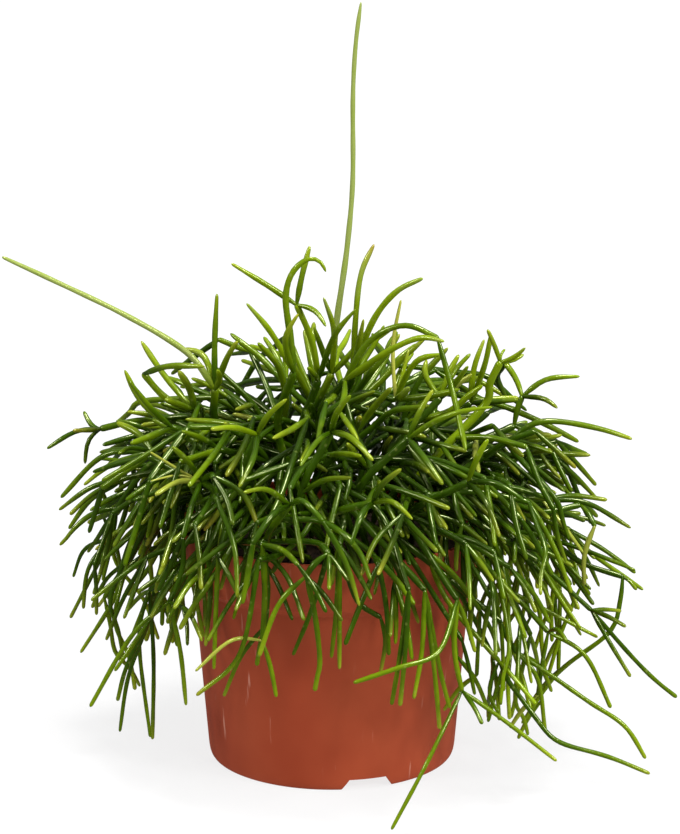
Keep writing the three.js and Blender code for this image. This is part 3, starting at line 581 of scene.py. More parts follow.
def raise_stalk(spray, fork):
    """Grows a spray's stalk from its foot to a fork, if there is room."""
    x, y = spray.foot
    start = (x, y, soil_height(x, y) + FOOT_HEIGHT)
    over_rim = math.hypot(fork[0], fork[1]) > POT_RADIUS - RIM_MARGIN
    over_rim = over_rim and fork[2] < POT_HEIGHT + RIM_HEADROOM
    for _ in range(STALK_TRIES):
        if over_rim:
            path = arched(start, fork, spray.draw)
        else:
            path = bowed(start, fork, STALK_BOW, STALK_RISE, spray.draw)
        if place(spray, path, STALK_RADIUS, [fork]):
            return


def branch_to(spray, fork):
    """Grows a branch from a spray's stalk to a fork, if there is room."""
    stalk = spray.stems[0].points
    for _ in range(STALK_TRIES):
        start = stem_point(stalk, spray.draw(*BRANCH_START))
        path = bowed(start, fork, BRANCH_BOW, BRANCH_RISE, spray.draw)
        if place(spray, path, SHOOT_RADIUS, [start, fork]):
            return


# ------------------------------ whorls of shoots


def new_shoot(fork, heading, turn, length, whorl, draw):
    """A shoot from a fork, opened sideways from the way that the stem before it came."""
    side = turned_about(unit((-heading[1], heading[0], SIDE_TILT)), heading, turn)
    opened = draw(*whorl["open"])
    lift = draw(*whorl["lift"])
    veer = draw(-whorl["veer"], whorl["veer"])
    first = add(scaled(heading, math.cos(opened)), side, math.sin(opened))
    first = unit(add(first, lean(fork, lift, veer), whorl["lean"]))
    middle = add(fork, first, length / 2)
    second = unit(add(first, lean(middle, lift / 2, veer / 2), whorl["bend"]))
    return [fork, middle, add(middle, second, length / 2)]


def grow_whorl(spray, stem, index, whorl):
    """A whorl of shoots at one of a stem's points. The new shoots are returned."""
    return grow_shoots(spray, stem.points[index], stem.points[index - 1], whorl)


def grow_shoots(spray, fork, before, whorl, most=math.inf):
    """A whorl of shoots at a fork. Before is a point that the stem came through on its way."""
    heading = unit(minus(fork, before))
    first_turn = spray.draw(0, 2 * math.pi)
    ends = [(WHORL_TOP, whorl["top"]), (WHORL_SIDE, whorl["side"])]
    usual = interpolate(ends, max(crown_angle(fork), WHORL_TOP))
    count = min(math.floor(usual * spray.fullness + 0.5), most)
    grown = []
    for i in range(count):
        for attempt in range(SHOOT_TRIES):
            jitter = spray.draw(-TURN_JITTER, TURN_JITTER)
            turn = first_turn + ((i + jitter) * 2 * math.pi) / count
            share = 1 - ((1 - LAST_TRY_SHARE) * attempt) / SHOOT_TRIES
            length = spray.draw(*whorl["length"]) * share
            points = new_shoot(fork, heading, turn, length, whorl, spray.draw)
            if mound_place(points[2], spray.swell, whorl["drops"], whorl["rise"]) >= 1:
                continue
            shoot = place(spray, points, whorl["radius"], [fork])
            if shoot:
                grown.append(shoot)
                break
    return grown


# ------------------------------ the sprays of the CAD model


def foot_place(index):
    """Where a stalk leaves the soil: the feet lie on a spiral from the middle."""
    return polar(FEET_RADIUS * math.sqrt((index + 0.5) / FEET), index * GOLDEN_TURN)


free_feet = [foot_place(index) for index in range(FEET)]


def keep_feet_free():
    """Keeps the space just over every foot free for its own stalk."""
    for foot in free_feet:
        surface = soil_height(*foot)
        over = [(*foot, surface + rise) for rise in (0, FOOT_HEIGHT, 2 * FOOT_HEIGHT)]
        occupy(over, STALK_RADIUS, foot)


def take_foot_below(fork):
    """Takes the free foot that lies best for a stalk to a fork."""
    pull = min(FOOT_PULL, FEET_RADIUS / math.hypot(fork[0], fork[1]))
    target = (fork[0] * pull, fork[1] * pull)
    foot = min(free_feet, key=lambda foot: math.dist(foot, target))
    free_feet.remove(foot)
    return foot


def same(a, b):
    return size(minus(a, b)) < SAME_POINT


def hand_placed_spray(index, name, rows):
    """A spray with its listed shoots, which has no stalk yet."""
    spray = Spray(HAND_SEED + index, HAND_FULLNESS)
    spray.name = name
    shoots = read_shoots(rows)
    for number, points in enumerate(shoots):
        forked = any(same(other[0], points[-1]) for other in shoots)
        radius = SHOOT_RADIUS if forked else TIP_SHOOT_RADIUS
        occupy(points, radius, spray)
        spray.stems.append(Stem(points, radius, DRY_SHOOTS.get((name, number), 0)))
    return spray


def open_forks(stems):
    """The points that shoots start from and that no other shoot of the spray ends at."""
    forks = []
    for start in (stem.points[0] for stem in stems):
        ended = any(same(stem.points[-1], start) for stem in stems)
        if not ended and not any(same(fork, start) for fork in forks):
            forks.append(start)
    return forks


def root_spray(spray):
    """Gives a listed spray its stalk, and branches from it to the other forks."""
    shoots = spray.stems
    fork, *others = open_forks(shoots)
    spray.foot = take_foot_below(fork)
    spray.stems = []
    raise_stalk(spray, fork)
    for other in others:
        branch_to(spray, other)
    spray.growing = list(spray.stems)
    spray.stems += shoots


def spiral_fork(index, count, draw):
    """A first fork for a rule-placed spray, on a spiral from the mound's top to its foot."""
    lowest = math.cos(math.radians(LOWEST_AIM))
    even = math.degrees(math.acos(1 - ((index + 0.5) / count) * (1 - lowest)))
    aim = even + draw(-AIM_JITTER, AIM_JITTER)
    even_turn = index * GOLDEN_TURN + draw(-SPRAY_TURN_JITTER, SPRAY_TURN_JITTER)
    turn = even_turn + BACK_FULLER * math.cos(even_turn)
    distance = interpolate(FORK_DISTANCE, aim) * draw(*FORK_DISTANCE_SHARE)
    slope = math.radians(aim)
    rise = math.cos(slope) * distance
    return (*polar(math.sin(slope) * distance, turn), CROWN_HEIGHT + rise)


def rule_placed_spray(index, count):
    """A spray placed by rule, with its stalk if there is room for one."""
    spray = Spray(RULE_SEED + index, RULE_FULLNESS)
    for _ in range(SHOOT_TRIES):
        fork = spiral_fork(index, count, spray.draw)
        if spray.foot is None:
            spray.foot = take_foot_below(fork)
        raise_stalk(spray, fork)
        if spray.stems:
            break
    spray.growing = list(spray.stems)
    return spray


def plant_sprays():
    """Grows the sprays that the CAD model has, in its order."""
    keep_feet_free()
    placed = [hand_placed_spray(i, *item) for i, item in enumerate(HAND_PLACED.items())]
    for spray in placed:
        root_spray(spray)
    count = len(free_feet)
    ruled = [rule_placed_spray(index, count) for index in range(count)]
    for spray in placed:
        for stem in list(spray.growing):
            spray.growing += grow_whorl(spray, stem, 1, HALFWAY_WHORL)
    for whorl in END_WHORLS:
        for spray in placed + ruled:
            spray.growing = [
                shoot for stem in spray.growing for shoot in grow_whorl(spray, stem, 2, whorl)
            ]
    return [spray for spray in placed + ruled if spray.stems]


# ------------------------------ shoots that only the looks have

EXTRA_CLEARANCE = -0.5  # the finer shoots may touch
EXTRA_FULLNESS = 0.75
EXTRA_SWELL = (0.82, 1.12)  # each spray fills a mound of its own size
EXTRA_SHOOTS = {
    "radius": 1.35, "open": (0.2, 0.9), "lift": (-78, 6), "veer": 1.5, "lean": 0.55, "bend": 0.6,
    "drops": (30, 104), "rise": 62,
}
FULL_SPRAYS = {"right_fan": 1.12, "right_low": 1.16, "right_trail": 1.08, "right_out": 1.1}
STALK_SHARES = (0.3, 0.55, 0.8)
STALK_WHORL = {"top": 1, "side": 1, "length": (30, 56), **EXTRA_SHOOTS}
# A whorl's share is how far along its stem it grows.
EXTRA_WHORLS = [
    {"share": 0.5, "top": 0.6, "side": 0.6, "length": (28, 54), **EXTRA_SHOOTS},
    {"share": 1, "top": 1.6, "side": 2, "length": (28, 54), **EXTRA_SHOOTS},
    {"share": 1, "top": 1, "side": 1.2, "length": (22, 44), **EXTRA_SHOOTS},
]
INNER_SWELL = 0.84
INNER_CLEARANCE = -0.8
INNER_WHORLS = [
    {"share": 0.5, "top": 1.2, "side": 1.2, "length": (18, 42), **EXTRA_SHOOTS},
    {"share": 1, "top": 1.6, "side": 1.8, "length": (18, 42), **EXTRA_SHOOTS},
]
MOST_AT_FORK = 3
# Thin dry twigs that only the looks have: the spray that each grows on, and its points.
DRY_TWIGS = [
    ("left_brow", [(-48, -52, 123), (-55, -56, 128), (-66, -62, 137)]),
    ("left_brow", [(-48, -52, 123), (-56, -57, 127), (-66, -62, 126)]),
]
TWIG_RADIUS = 0.8
TWIG_DRYNESS = 0.8
HEADING_SHARE = 0.1  # a stem's heading is taken over this share of its length


def grow_at(spray, stem, share, whorl, most):
    """Grows a whorl at a share along a stem."""
    fork = stem_point(stem.points, share)
    before = stem_point(stem.points, share - HEADING_SHARE)
    grow_shoots(spray, fork, before, whorl, most)


def grow_on_all(spray, whorl):
    """Grows shoots on every stem that a spray has so far."""
    for stem in list(spray.stems):
        taken = sum(same(other.points[0], stem.points[-1]) for other in spray.stems)
        room = MOST_AT_FORK - taken if whorl["share"] == 1 else 1
        if room > 0:
            grow_at(spray, stem, whorl["share"], whorl, room)


def fill_out(sprays):
    """Grows finer shoots between the ones that the CAD model has, first low on the stalks."""
    for spray in sprays:
        spray.clearance = EXTRA_CLEARANCE
        spray.fullness = EXTRA_FULLNESS
        spray.swell = FULL_SPRAYS.get(spray.name, spray.draw(*EXTRA_SWELL))
    for share in STALK_SHARES:
        for spray in sprays:
            grow_at(spray, spray.stems[0], share, STALK_WHORL, 1)
    for whorl in EXTRA_WHORLS:
        for spray in sprays:
            grow_on_all(spray, whorl)
    for spray in sprays:
        spray.clearance = INNER_CLEARANCE
        spray.swell = INNER_SWELL
    for whorl in INNER_WHORLS:
        for spray in sprays:
            grow_on_all(spray, whorl)
    for name, points in DRY_TWIGS:
        spray = next(spray for spray in sprays if spray.name == name)
        spray.stems.append(Stem(points, TWIG_RADIUS, TWIG_DRYNESS))


# ------------------------------ meshes


def ring_faces(rings, sides):
    """Faces of a closed form whose points are a pole, then its rings, then another pole."""
    last = 1 + (rings - 1) * sides
    faces = [[0, 1 + (k + 1) % sides, 1 + k] for k in range(sides)]
    for low in range(1, last, sides):
        for k in range(sides):
            a, b = low + k, low + (k + 1) % sides
            faces.append([a, b, b + sides, a + sides])
    faces += [[last + k, last + (k + 1) % sides, last + sides] for k in range(sides)]
    return faces


class MeshParts:
    """Points, faces and per-point values of one piece, gathered part by part."""

    def __init__(self):
        self.points = []
        self.faces = []
        self.values = {"shade": [], "tip": [], "warm": [], "dry": []}

    def add(self, points, faces, **values):
        first = len(self.points)
        self.points += points
        self.faces += [[first + index for index in face] for face in faces]
        for name, series in self.values.items():
            given = values.get(name, 0.0)
            series += given if isinstance(given, list) else [given] * len(points)


def build_object(name, points, faces, material):
    """A smooth-shaded object of millimetre points."""
    mesh = bpy.data.meshes.new(name)
    mesh.from_pydata([(x * MM, y * MM, z * MM) for x, y, z in points], [], faces)
    mesh.materials.append(material)
    mesh.polygons.foreach_set("use_smooth", [True] * len(mesh.polygons))
    mesh.update()
    piece = bpy.data.objects.new(name, mesh)
    bpy.context.scene.collection.objects.link(piece)
    return piece


# ------------------------------ stem forms

SIDES = 10
# A finer stem's share of its CAD width: less further from the crown and less low down, in mm.
WIDTH_BY_REACH = ((60, 95, 120, 200), (0.92, 0.84, 0.72, 0.6))
WIDTH_BY_HEIGHT = ((20, 70, 100, 135), (0.6, 0.64, 0.76, 0.88))
WIDTH_CHANCE = 0.07
DRY_SHRINK = 0.3  # how much thinner a wholly dry shoot is
LEAST_STEPS = 8  # a stem's line has at least this many steps, and one to each mm
SMOOTHINGS = 16  # times that a stem's line is evened out, which rounds its bends
RING_STEP = 2.4  # mm between the rings of a stem
ROOT_SINK = 0.4  # a shoot starts this many radii inside the stem that it grows from
ROOT_SHARE = 0.62  # its width there
ROOT_RINGS = (0, 1.1, 2.4, 4.0, 6.0)
ROOT_GROW = 6.0  # and the length over which it reaches its full width
STALK_SINK = 6.0  # a stalk starts this far under the soil
TIP_BY_HEIGHT = ((60, 165), (0.85, 0.5))  # a last shoot's share of its width close to its tip
TIP_CHANCE = 0.15
TIP_TAPER = (6.0, 22.0)  # and the length over which it narrows
FORK_OVERRUN = 0.45  # a forked stem ends this many radii past its fork
CAP_LENGTH = 1.4  # a rounded end's length, in radii
CAP_ANGLES = (18, 38, 58, 76)
WIDTH_WAVE = 0.045  # how much a stem's width varies along it
WAVE_RATE = (0.35, 0.6)  # radians a mm
FIRST_ACROSS = (0.31, 0.22, 0.93)  # a way that no stem starts in, to set its first ring off
STRAIGHT_ON = 0.8  # least cosine of the angle at which one stem goes on as the next


def centre_line(points, before, after):
    """Positions and distances along a stem, run on straight at both of its ends."""
    count = max(LEAST_STEPS, math.ceil(path_length(points)))
    line = np.array([stem_point(points, i / count) for i in range(count + 1)])
    for _ in range(SMOOTHINGS):
        line[1:-1] = (line[:-2] + 2 * line[1:-1] + line[2:]) / 4
    start = line[0] - line[1]
    end = line[-1] - line[-2]
    start = line[0] + start * before / np.linalg.norm(start)
    end = line[-1] + end * after / np.linalg.norm(end)
    line = np.vstack([start, line, end])
    steps = np.linalg.norm(np.diff(line, axis=0), axis=1)
    distances = np.concatenate([[0], np.cumsum(steps)]) - before
    return line, distances


def ring_distances(length, cap):
    """Where a stem's rings lie along it: close at its root, even after that, close at its end."""
    root = [d for d in ROOT_RINGS if d < length - cap]
    even_count = max(1, round((length - cap - root[-1]) / RING_STEP))
    even = np.linspace(root[-1], length - cap, even_count + 1)[1:]
    ends = [length - cap * (1 - math.sin(math.radians(angle))) for angle in CAP_ANGLES]
    return np.array([*root, *even, *ends])


def width_shares(places):
    """The share of its CAD width that a finer stem has at each of some places."""
    reach = np.linalg.norm(places - (0, 0, CROWN_HEIGHT), axis=1)
    return np.minimum(np.interp(reach, *WIDTH_BY_REACH), np.interp(places[:, 2], *WIDTH_BY_HEIGHT))


def ring_radii(distances, length, cap, radii, sprouts, tip_share, draw):
    """The radius at each ring of a stem, given what it would be in a stem without ends."""
    share = np.clip(distances / ROOT_GROW, 0, 1)
    widening = share * share * (3 - 2 * share)
    if sprouts:
        radii *= ROOT_SHARE + (1 - ROOT_SHARE) * widening
    to_tip = np.clip((length - distances) / draw(*TIP_TAPER), 0, 1)
    radii *= tip_share + (1 - tip_share) * (1 - (1 - to_tip) ** 2)
    rate = draw(*WAVE_RATE)
    radii *= 1 + WIDTH_WAVE * np.sin(distances * rate + draw(0, 2 * math.pi))
    into_cap = np.clip((distances - (length - cap)) / cap, 0, 1)
    return radii * np.sqrt(1 - into_cap * into_cap)


def tube_points(centres, radii):
    """The points of a tube round a line of centres, whose first and last are its poles."""
    ways = np.gradient(centres, axis=0)
    ways /= np.linalg.norm(ways, axis=1)[:, None]
    turns = np.arange(SIDES) * 2 * math.pi / SIDES
    across = np.cross(ways[0], FIRST_ACROSS)
    points = [tuple(centres[0])]
    for centre, way, radius in zip(centres[1:-1], ways[1:-1], radii):
        across = across - way * np.dot(across, way)
        across /= np.linalg.norm(across)
        third = np.cross(way, across)
        ring = centre + radius * (np.outer(np.cos(turns), across) + np.outer(np.sin(turns), third))
        points += [tuple(point) for point in ring]
    points.append(tuple(centres[-1]))
    return points


def add_stem(parts, stem, sprouts, ends_in_tip, young, draw):
    """Adds one stem of a spray, with its colours."""
    usual = stem.radius * (1 + draw(-WIDTH_CHANCE, WIDTH_CHANCE)) * (1 - DRY_SHRINK * stem.dryness)
    root_radius, end_radius = usual * width_shares(np.array([stem.points[0], stem.points[-1]]))
    before = ROOT_SINK * root_radius if sprouts else STALK_SINK
    after = 0 if ends_in_tip else FORK_OVERRUN * end_radius
    line, along = centre_line(stem.points, before, after)
    length = along[-1]
    cap = CAP_LENGTH * end_radius
    distances = ring_distances(length, cap)
    stops = np.concatenate([[-before], distances, [length]])
    centres = np.column_stack([np.interp(stops, along, line[:, axis]) for axis in range(3)])
    tip_share = 1
    if ends_in_tip:
        tip_share = np.interp(stem.points[-1][2], *TIP_BY_HEIGHT) + draw(-TIP_CHANCE, TIP_CHANCE)
    radii = usual * width_shares(centres[1:-1])
    radii = ring_radii(distances, length, cap, radii, sprouts, tip_share, draw)
    colours = stem_colours(stem, line, stops, centres[:, 2], ends_in_tip, young, draw)
    parts.add(tube_points(centres, radii), ring_faces(len(radii), SIDES), **colours)


# ------------------------------ stem colours

# How light a stem's green is, from 0 to 1: by chance, and by the height of its end, which paints
# shade halfway up, where the crown overhangs, and paints light on the crown and on the lowest
# hanging shoots.
PAINTED_LIGHT_BY_HEIGHT = ((45, 95, 115, 160), (0.46, 0.2, 0.22, 0.58))
LIGHT_BY_CHANCE = 0.42
LIGHT_ALONG = 0.32  # how much lighter a last shoot is at its tip than at its root
DEEP_PLACE = 0.45  # painted shade: this deep in the mound a stem keeps only a share of its lightness,
OUTER_PLACE = 0.85  # and this far out it keeps it all
PAINTED_SHADE_DEEP_SHARE = 0.35
YOUNG_LENGTH = 50.0  # in a young spray, shoots longer than this turn pale
YOUNG_HEIGHTS = (138, 158)  # between these heights
YOUNG_SHADE = 1.25
TIP_FADE = 5.0  # mm over which a growing tip's colour fades
DRY_CHANCE = 0.02
DRY_BY_CHANCE = 0.5


def per_point(stops):
    """What a tube's mesh points have, from what it has at its root, at each ring and at its tip."""
    return np.concatenate([stops[:1], np.repeat(stops[1:-1], SIDES), stops[-1:]])


def shade_with_painted_light(line, draw):
    """How light a stem is: its own tone by chance, with painted shade halfway up and deep in the
    mound, and painted light on the crown and low down.
    """
    light = np.interp(line[-1][2], *PAINTED_LIGHT_BY_HEIGHT) + LIGHT_BY_CHANCE * draw(0, 1)
    place = math.sqrt(mound_place(line[len(line) // 2], 1, MOUND_DROPS, MOUND_RISE))
    # stems deep in the mound get painted shade
    outness = min(max((place - DEEP_PLACE) / (OUTER_PLACE - DEEP_PLACE), 0), 1)
    return light * (PAINTED_SHADE_DEEP_SHARE + (1 - PAINTED_SHADE_DEEP_SHARE) * outness)


def stem_colours(stem, line, stops, heights, ends_in_tip, young, draw):
    """The values at a stem's mesh points that its material makes its colours from."""
    shade = shade_with_painted_light(line, draw)
    warm = draw(0, 1)
    dry = stem.dryness
    if ends_in_tip and draw(0, 1) < DRY_CHANCE:
        dry = DRY_BY_CHANCE
    length = stops[-1]
    places = per_point(stops)
    shades = np.full(len(places), shade)
    tip = np.zeros(len(places))
    if ends_in_tip:
        shades += LIGHT_ALONG * (places / length - 0.5)
        tip = np.exp((places - length) / TIP_FADE)
    if young and length > YOUNG_LENGTH:
        paleness = np.interp(per_point(heights), YOUNG_HEIGHTS, (0, 1))
        shades += paleness * (YOUNG_SHADE - shades)
    return {"shade": shades.tolist(), "warm": warm, "dry": dry, "tip": tip.tolist()}


# ------------------------------ a spray's piece

STEM_SEED = 20000


def terminal(stem, stems):
    """Whether no shoot grows from a stem's end."""
    return not any(same(other.points[0], stem.points[-1]) for other in stems)


def goes_on(stem, following):
    """Whether a stem that starts at another's end heads nearly the same way."""
    heading = unit(minus(stem.points[-1], stem.points[-2]))
    onward = unit(minus(following.points[1], following.points[0]))
    return dot(heading, onward) > STRAIGHT_ON


def join_chains(stems):
    """Makes one long stem of each run of stems that go on from each other with no other shoot."""
    joined = []
    for stem in stems:
        before = [other for other in joined if same(other.points[-1], stem.points[0])]
        beside = [other for other in stems if same(other.points[0], stem.points[0])]
        if len(before) == 1 and len(beside) == 1 and goes_on(before[0], stem):
            before[0].points = before[0].points + stem.points[1:]
        else:
            joined.append(stem)
    return joined


def stem_piece(number, spray, material):
    """One spray's mesh, with its colour values as attributes."""
    parts = MeshParts()
    draw = make_draw(STEM_SEED + number)
    stems = join_chains(spray.stems)
    young = spray.name in YOUNG_SPRAYS
    for stem in stems:
        add_stem(parts, stem, stem is not stems[0], terminal(stem, stems), young, draw)
    piece = build_object(f"stems_{number:02d}", parts.points, parts.faces, material)
    for name, series in parts.values.items():
        attribute = piece.data.attributes.new(name, "FLOAT", "POINT")
        attribute.data.foreach_set("value", series)
    return piece


# ------------------------------ pot

POT_SIDES = 160
FOOT_ROUND = 4.5  # how far the body's lower corner is rounded
CORNER_ROUND = 0.6  # and every other corner
ROUND_STEPS = 5
ROUND_SHARE = 0.45  # the most of a side that one rounded corner takes
NOTCH_REACH = 4  # how far inwards a notch is cut, in widths of the foot ring
DRAIN_SIDES = 32
BEVEL_WIDTH = 0.3
BEVEL_ANGLE = 34  # degrees: sharper edges are bevelled
WELD_DISTANCE = 0.002  # mm: corners closer than this are joined
HOLE_SIDES = 8  # holes with up to this many sides are closed


def rounded(outline, rounds):
    """A closed outline whose corners are rounded, each starting its own distance away."""
    found = []
    for i, (corner, cut) in enumerate(zip(outline, rounds)):
        if cut == 0:
            found.append(corner)
            continue
        ends = []
        for other in (outline[i - 1], outline[(i + 1) % len(outline)]):
            length = math.dist(corner, other)
            share = min(cut, ROUND_SHARE * length) / length
            ends.append([c + (o - c) * share for c, o in zip(corner, other)])
        for step in range(ROUND_STEPS + 1):
            t = step / ROUND_STEPS
            weights = ((1 - t) ** 2, 2 * t * (1 - t), t * t)
            found.append(tuple(
                weights[0] * a + weights[1] * c + weights[2] * b
                for a, c, b in zip(ends[0], corner, ends[1])
            ))
    return found


def lathe(outline, sides):
    """Points and faces of an outline of (radius, height) turned round the Z axis.

    The outline runs from the axis, round the solid, back to the axis.
    """
    points = [(0, 0, outline[0][1])]
    for radius, height in outline[1:-1]:
        points += [(*polar(radius, 2 * math.pi * k / sides), height) for k in range(sides)]
    points.append((0, 0, outline[-1][1]))
    return points, ring_faces(len(outline) - 2, sides)


def notch_cutter(turn):
    """A block with sloped ends that cuts one drainage notch through the foot ring."""
    section = [
        (-NOTCH_FOOT_WIDTH / 2, -NOTCH_BELOW),
        (NOTCH_FOOT_WIDTH / 2, -NOTCH_BELOW),
        (NOTCH_TOP_WIDTH / 2, NOTCH_HEIGHT),
        (-NOTCH_TOP_WIDTH / 2, NOTCH_HEIGHT),
    ]
    points = []
    for radius in (BODY_FOOT_RADIUS - NOTCH_REACH * FOOT_RING_WIDTH, BODY_FOOT_RADIUS + FOOT_ROUND):
        points += [(*turned(radius, across, turn), height) for across, height in section]
    faces = [[3, 2, 1, 0], [4, 5, 6, 7]]
    faces += [[k, (k + 1) % 4, 4 + (k + 1) % 4, 4 + k] for k in range(4)]
    return points, faces


def drain_cutter(turn):
    """A round bar that cuts one hole through the floor."""
    x, y = polar(DRAIN_CIRCLE, turn)
    low, high = FLOOR_RISE - FLOOR_THICKNESS, floor_top + FLOOR_THICKNESS
    outline = [(0, low), (DRAIN_RADIUS, low), (DRAIN_RADIUS, high), (0, high)]
    points, faces = lathe(outline, DRAIN_SIDES)
    return [(px + x, py + y, pz) for px, py, pz in points], faces


def apply_modifiers(piece):
    """Replaces a piece's mesh by what its modifiers make of it."""
    graph = bpy.context.evaluated_depsgraph_get()
    mesh = bpy.data.meshes.new_from_object(piece.evaluated_get(graph))
    piece.modifiers.clear()
    piece.data = mesh


def mend(piece):
    """Joins a piece's corners that coincide, removes faces with no area and closes small holes."""
    shape = bmesh.new()
    shape.from_mesh(piece.data)
    bmesh.ops.remove_doubles(shape, verts=shape.verts, dist=WELD_DISTANCE * MM)
    bmesh.ops.dissolve_degenerate(shape, edges=shape.edges, dist=WELD_DISTANCE * MM)
    bmesh.ops.holes_fill(shape, edges=shape.edges, sides=HOLE_SIDES)
    shape.to_mesh(piece.data)
    shape.free()


def cut(piece, shapes, material):
    """Cuts shapes out of a piece."""
    tools = [build_object(f"cutter_{i}", *shape, material) for i, shape in enumerate(shapes)]
    for tool in tools:
        modifier = piece.modifiers.new(tool.name, "BOOLEAN")
        modifier.object = tool
        modifier.operation = "DIFFERENCE"
        modifier.solver = "EXACT"
    apply_modifiers(piece)
    mend(piece)
    for tool in tools:
        bpy.data.objects.remove(tool)


def bevel(piece):
    """Bevels a piece's sharp edges, and shades it smooth between them."""
    modifier = piece.modifiers.new("edges", "BEVEL")
    modifier.width = BEVEL_WIDTH * MM
    modifier.segments = 2
    modifier.limit_method = "ANGLE"
    modifier.angle_limit = math.radians(BEVEL_ANGLE)
    apply_modifiers(piece)
    mend(piece)
    piece.data.polygons.foreach_set("use_smooth", [True] * len(piece.data.polygons))
    piece.data.set_sharp_from_angle(angle=math.radians(BEVEL_ANGLE))


def pot_piece(material):
    """The pot, turned from one closed section and cut."""
    outline = [
        (0, 0),
        (PAD_RADIUS, 0),
        (PAD_RADIUS + PAD_SLOPE, FLOOR_RISE),
        (ring_inner_radius, FLOOR_RISE),
        (ring_inner_radius, 0),
        (BODY_FOOT_RADIUS, 0),
        (BODY_TOP_RADIUS, ledge_foot),
        (collar_foot_radius, COLLAR_FOOT),
        (POT_RADIUS, POT_HEIGHT),
        (POT_RADIUS - RIM_WIDTH, POT_HEIGHT),
        (collar_foot_radius - POT_WALL, COLLAR_FOOT + POT_WALL),
        (BODY_TOP_RADIUS - POT_WALL, ledge_foot + POT_WALL),
        (BODY_FOOT_RADIUS - POT_WALL, floor_top + FOOT_BEVEL),
        (ring_inner_radius, floor_top),
        (PAD_RADIUS + PAD_SLOPE, floor_top),
        (PAD_RADIUS, FLOOR_THICKNESS),
        (0, FLOOR_THICKNESS),
    ]
    rounds = [CORNER_ROUND] * len(outline)
    rounds[0] = rounds[-1] = 0
    rounds[outline.index((BODY_FOOT_RADIUS, 0))] = FOOT_ROUND
    pot = build_object("nursery_pot", *lathe(rounded(outline, rounds), POT_SIDES), material)
    notch_turns = [math.radians(NOTCH_FIRST + i * 360 / NOTCH_COUNT) for i in range(NOTCH_COUNT)]
    drain_turns = [2 * math.pi * i / DRAIN_COUNT for i in range(DRAIN_COUNT)]
    cut(pot, [*map(notch_cutter, notch_turns), *map(drain_cutter, drain_turns)], material)
    bevel(pot)
    return pot


# ------------------------------ peat

PEAT_RINGS = 44
PEAT_SIDES = 128
PEAT_LUMP_HEIGHT = 1.5
PEAT_LUMPS = ((5, 0.5, 1), (2, 4.5, 0.5))  # their widths, levels in the noise, and shares
CRUMB_SEED = 31
CRUMB_COUNT = 260
CRUMB_REACH = 52.0  # how far from the middle they lie
CRUMB_SIZE = (0.6, 2.2)  # half a crumb's length
CRUMB_WIDTH = (0.5, 0.9)  # and its width and height, as shares of that
CRUMB_HEIGHT = (0.35, 0.7)
CRUMB_LUMPS = 0.35  # how lumpy it is
CRUMB_LUMP_RATE = 1.6  # and how fine its lumps are
CRUMB_SHIFT = (0, 100)  # where in the noise they come from


def peat_height(x, y):
    """How high the peat's lumpy top is."""
    lumps = sum(
        share * noise.noise(Vector((x / width, y / width, level)))
        for width, level, share in PEAT_LUMPS
    )
    return soil_height(x, y) + PEAT_LUMP_HEIGHT * lumps


def add_crumb(parts, draw):
    """Adds a lump of peat or bark, part sunk in the surface."""
    shape = bmesh.new()
    bmesh.ops.create_icosphere(shape, subdivisions=2, radius=1)
    turn = draw(0, 2 * math.pi)
    x, y = polar(CRUMB_REACH * math.sqrt(draw(0, 1)), turn)
    length = draw(*CRUMB_SIZE)
    spread = (length, length * draw(*CRUMB_WIDTH), length * draw(*CRUMB_HEIGHT))
    spin = draw(0, 2 * math.pi)
    shift = Vector((draw(*CRUMB_SHIFT), 0, 0))
    points = []
    for vert in shape.verts:
        swell = 1 + CRUMB_LUMPS * noise.noise(vert.co * CRUMB_LUMP_RATE + shift)
        px, py, pz = (value * reach * swell for value, reach in zip(vert.co, spread))
        points.append(add((x, y, peat_height(x, y)), (*turned(px, py, spin), pz)))
    parts.add(points, [[vert.index for vert in face.verts] for face in shape.faces])
    shape.free()


def peat_piece(material):
    """The plug of peat, with crumbs on and in its top."""
    floor = floor_top + SOIL_GAP
    sides_of_plug = [
        (0, floor),
        (BODY_FOOT_RADIUS - POT_WALL - SOIL_GAP, floor + FOOT_BEVEL),
        (BODY_TOP_RADIUS - POT_WALL - SOIL_GAP, ledge_foot + POT_WALL + SOIL_GAP),
        (collar_foot_radius - POT_WALL - SOIL_GAP, COLLAR_FOOT + POT_WALL + SOIL_GAP),
    ]
    edge = soil_surface[-1][0]
    top = [(edge * (1 - i / PEAT_RINGS), 0) for i in range(PEAT_RINGS + 1)]
    points, faces = lathe(sides_of_plug + top, PEAT_SIDES)
    first_top = 1 + (len(sides_of_plug) - 1) * PEAT_SIDES
    surface = [(x, y, peat_height(x, y)) for x, y, _ in points[first_top:]]
    parts = MeshParts()
    parts.add(points[:first_top] + surface, faces)
    draw = make_draw(CRUMB_SEED)
    for _ in range(CRUMB_COUNT):
        add_crumb(parts, draw)
    return build_object("peat", parts.points, parts.faces, material)


# ------------------------------ nodes

WHITE = (1, 1, 1, 1)
MIDDLE_NOISE = (0.3, 0.7)  # the range that most of a noise lies in


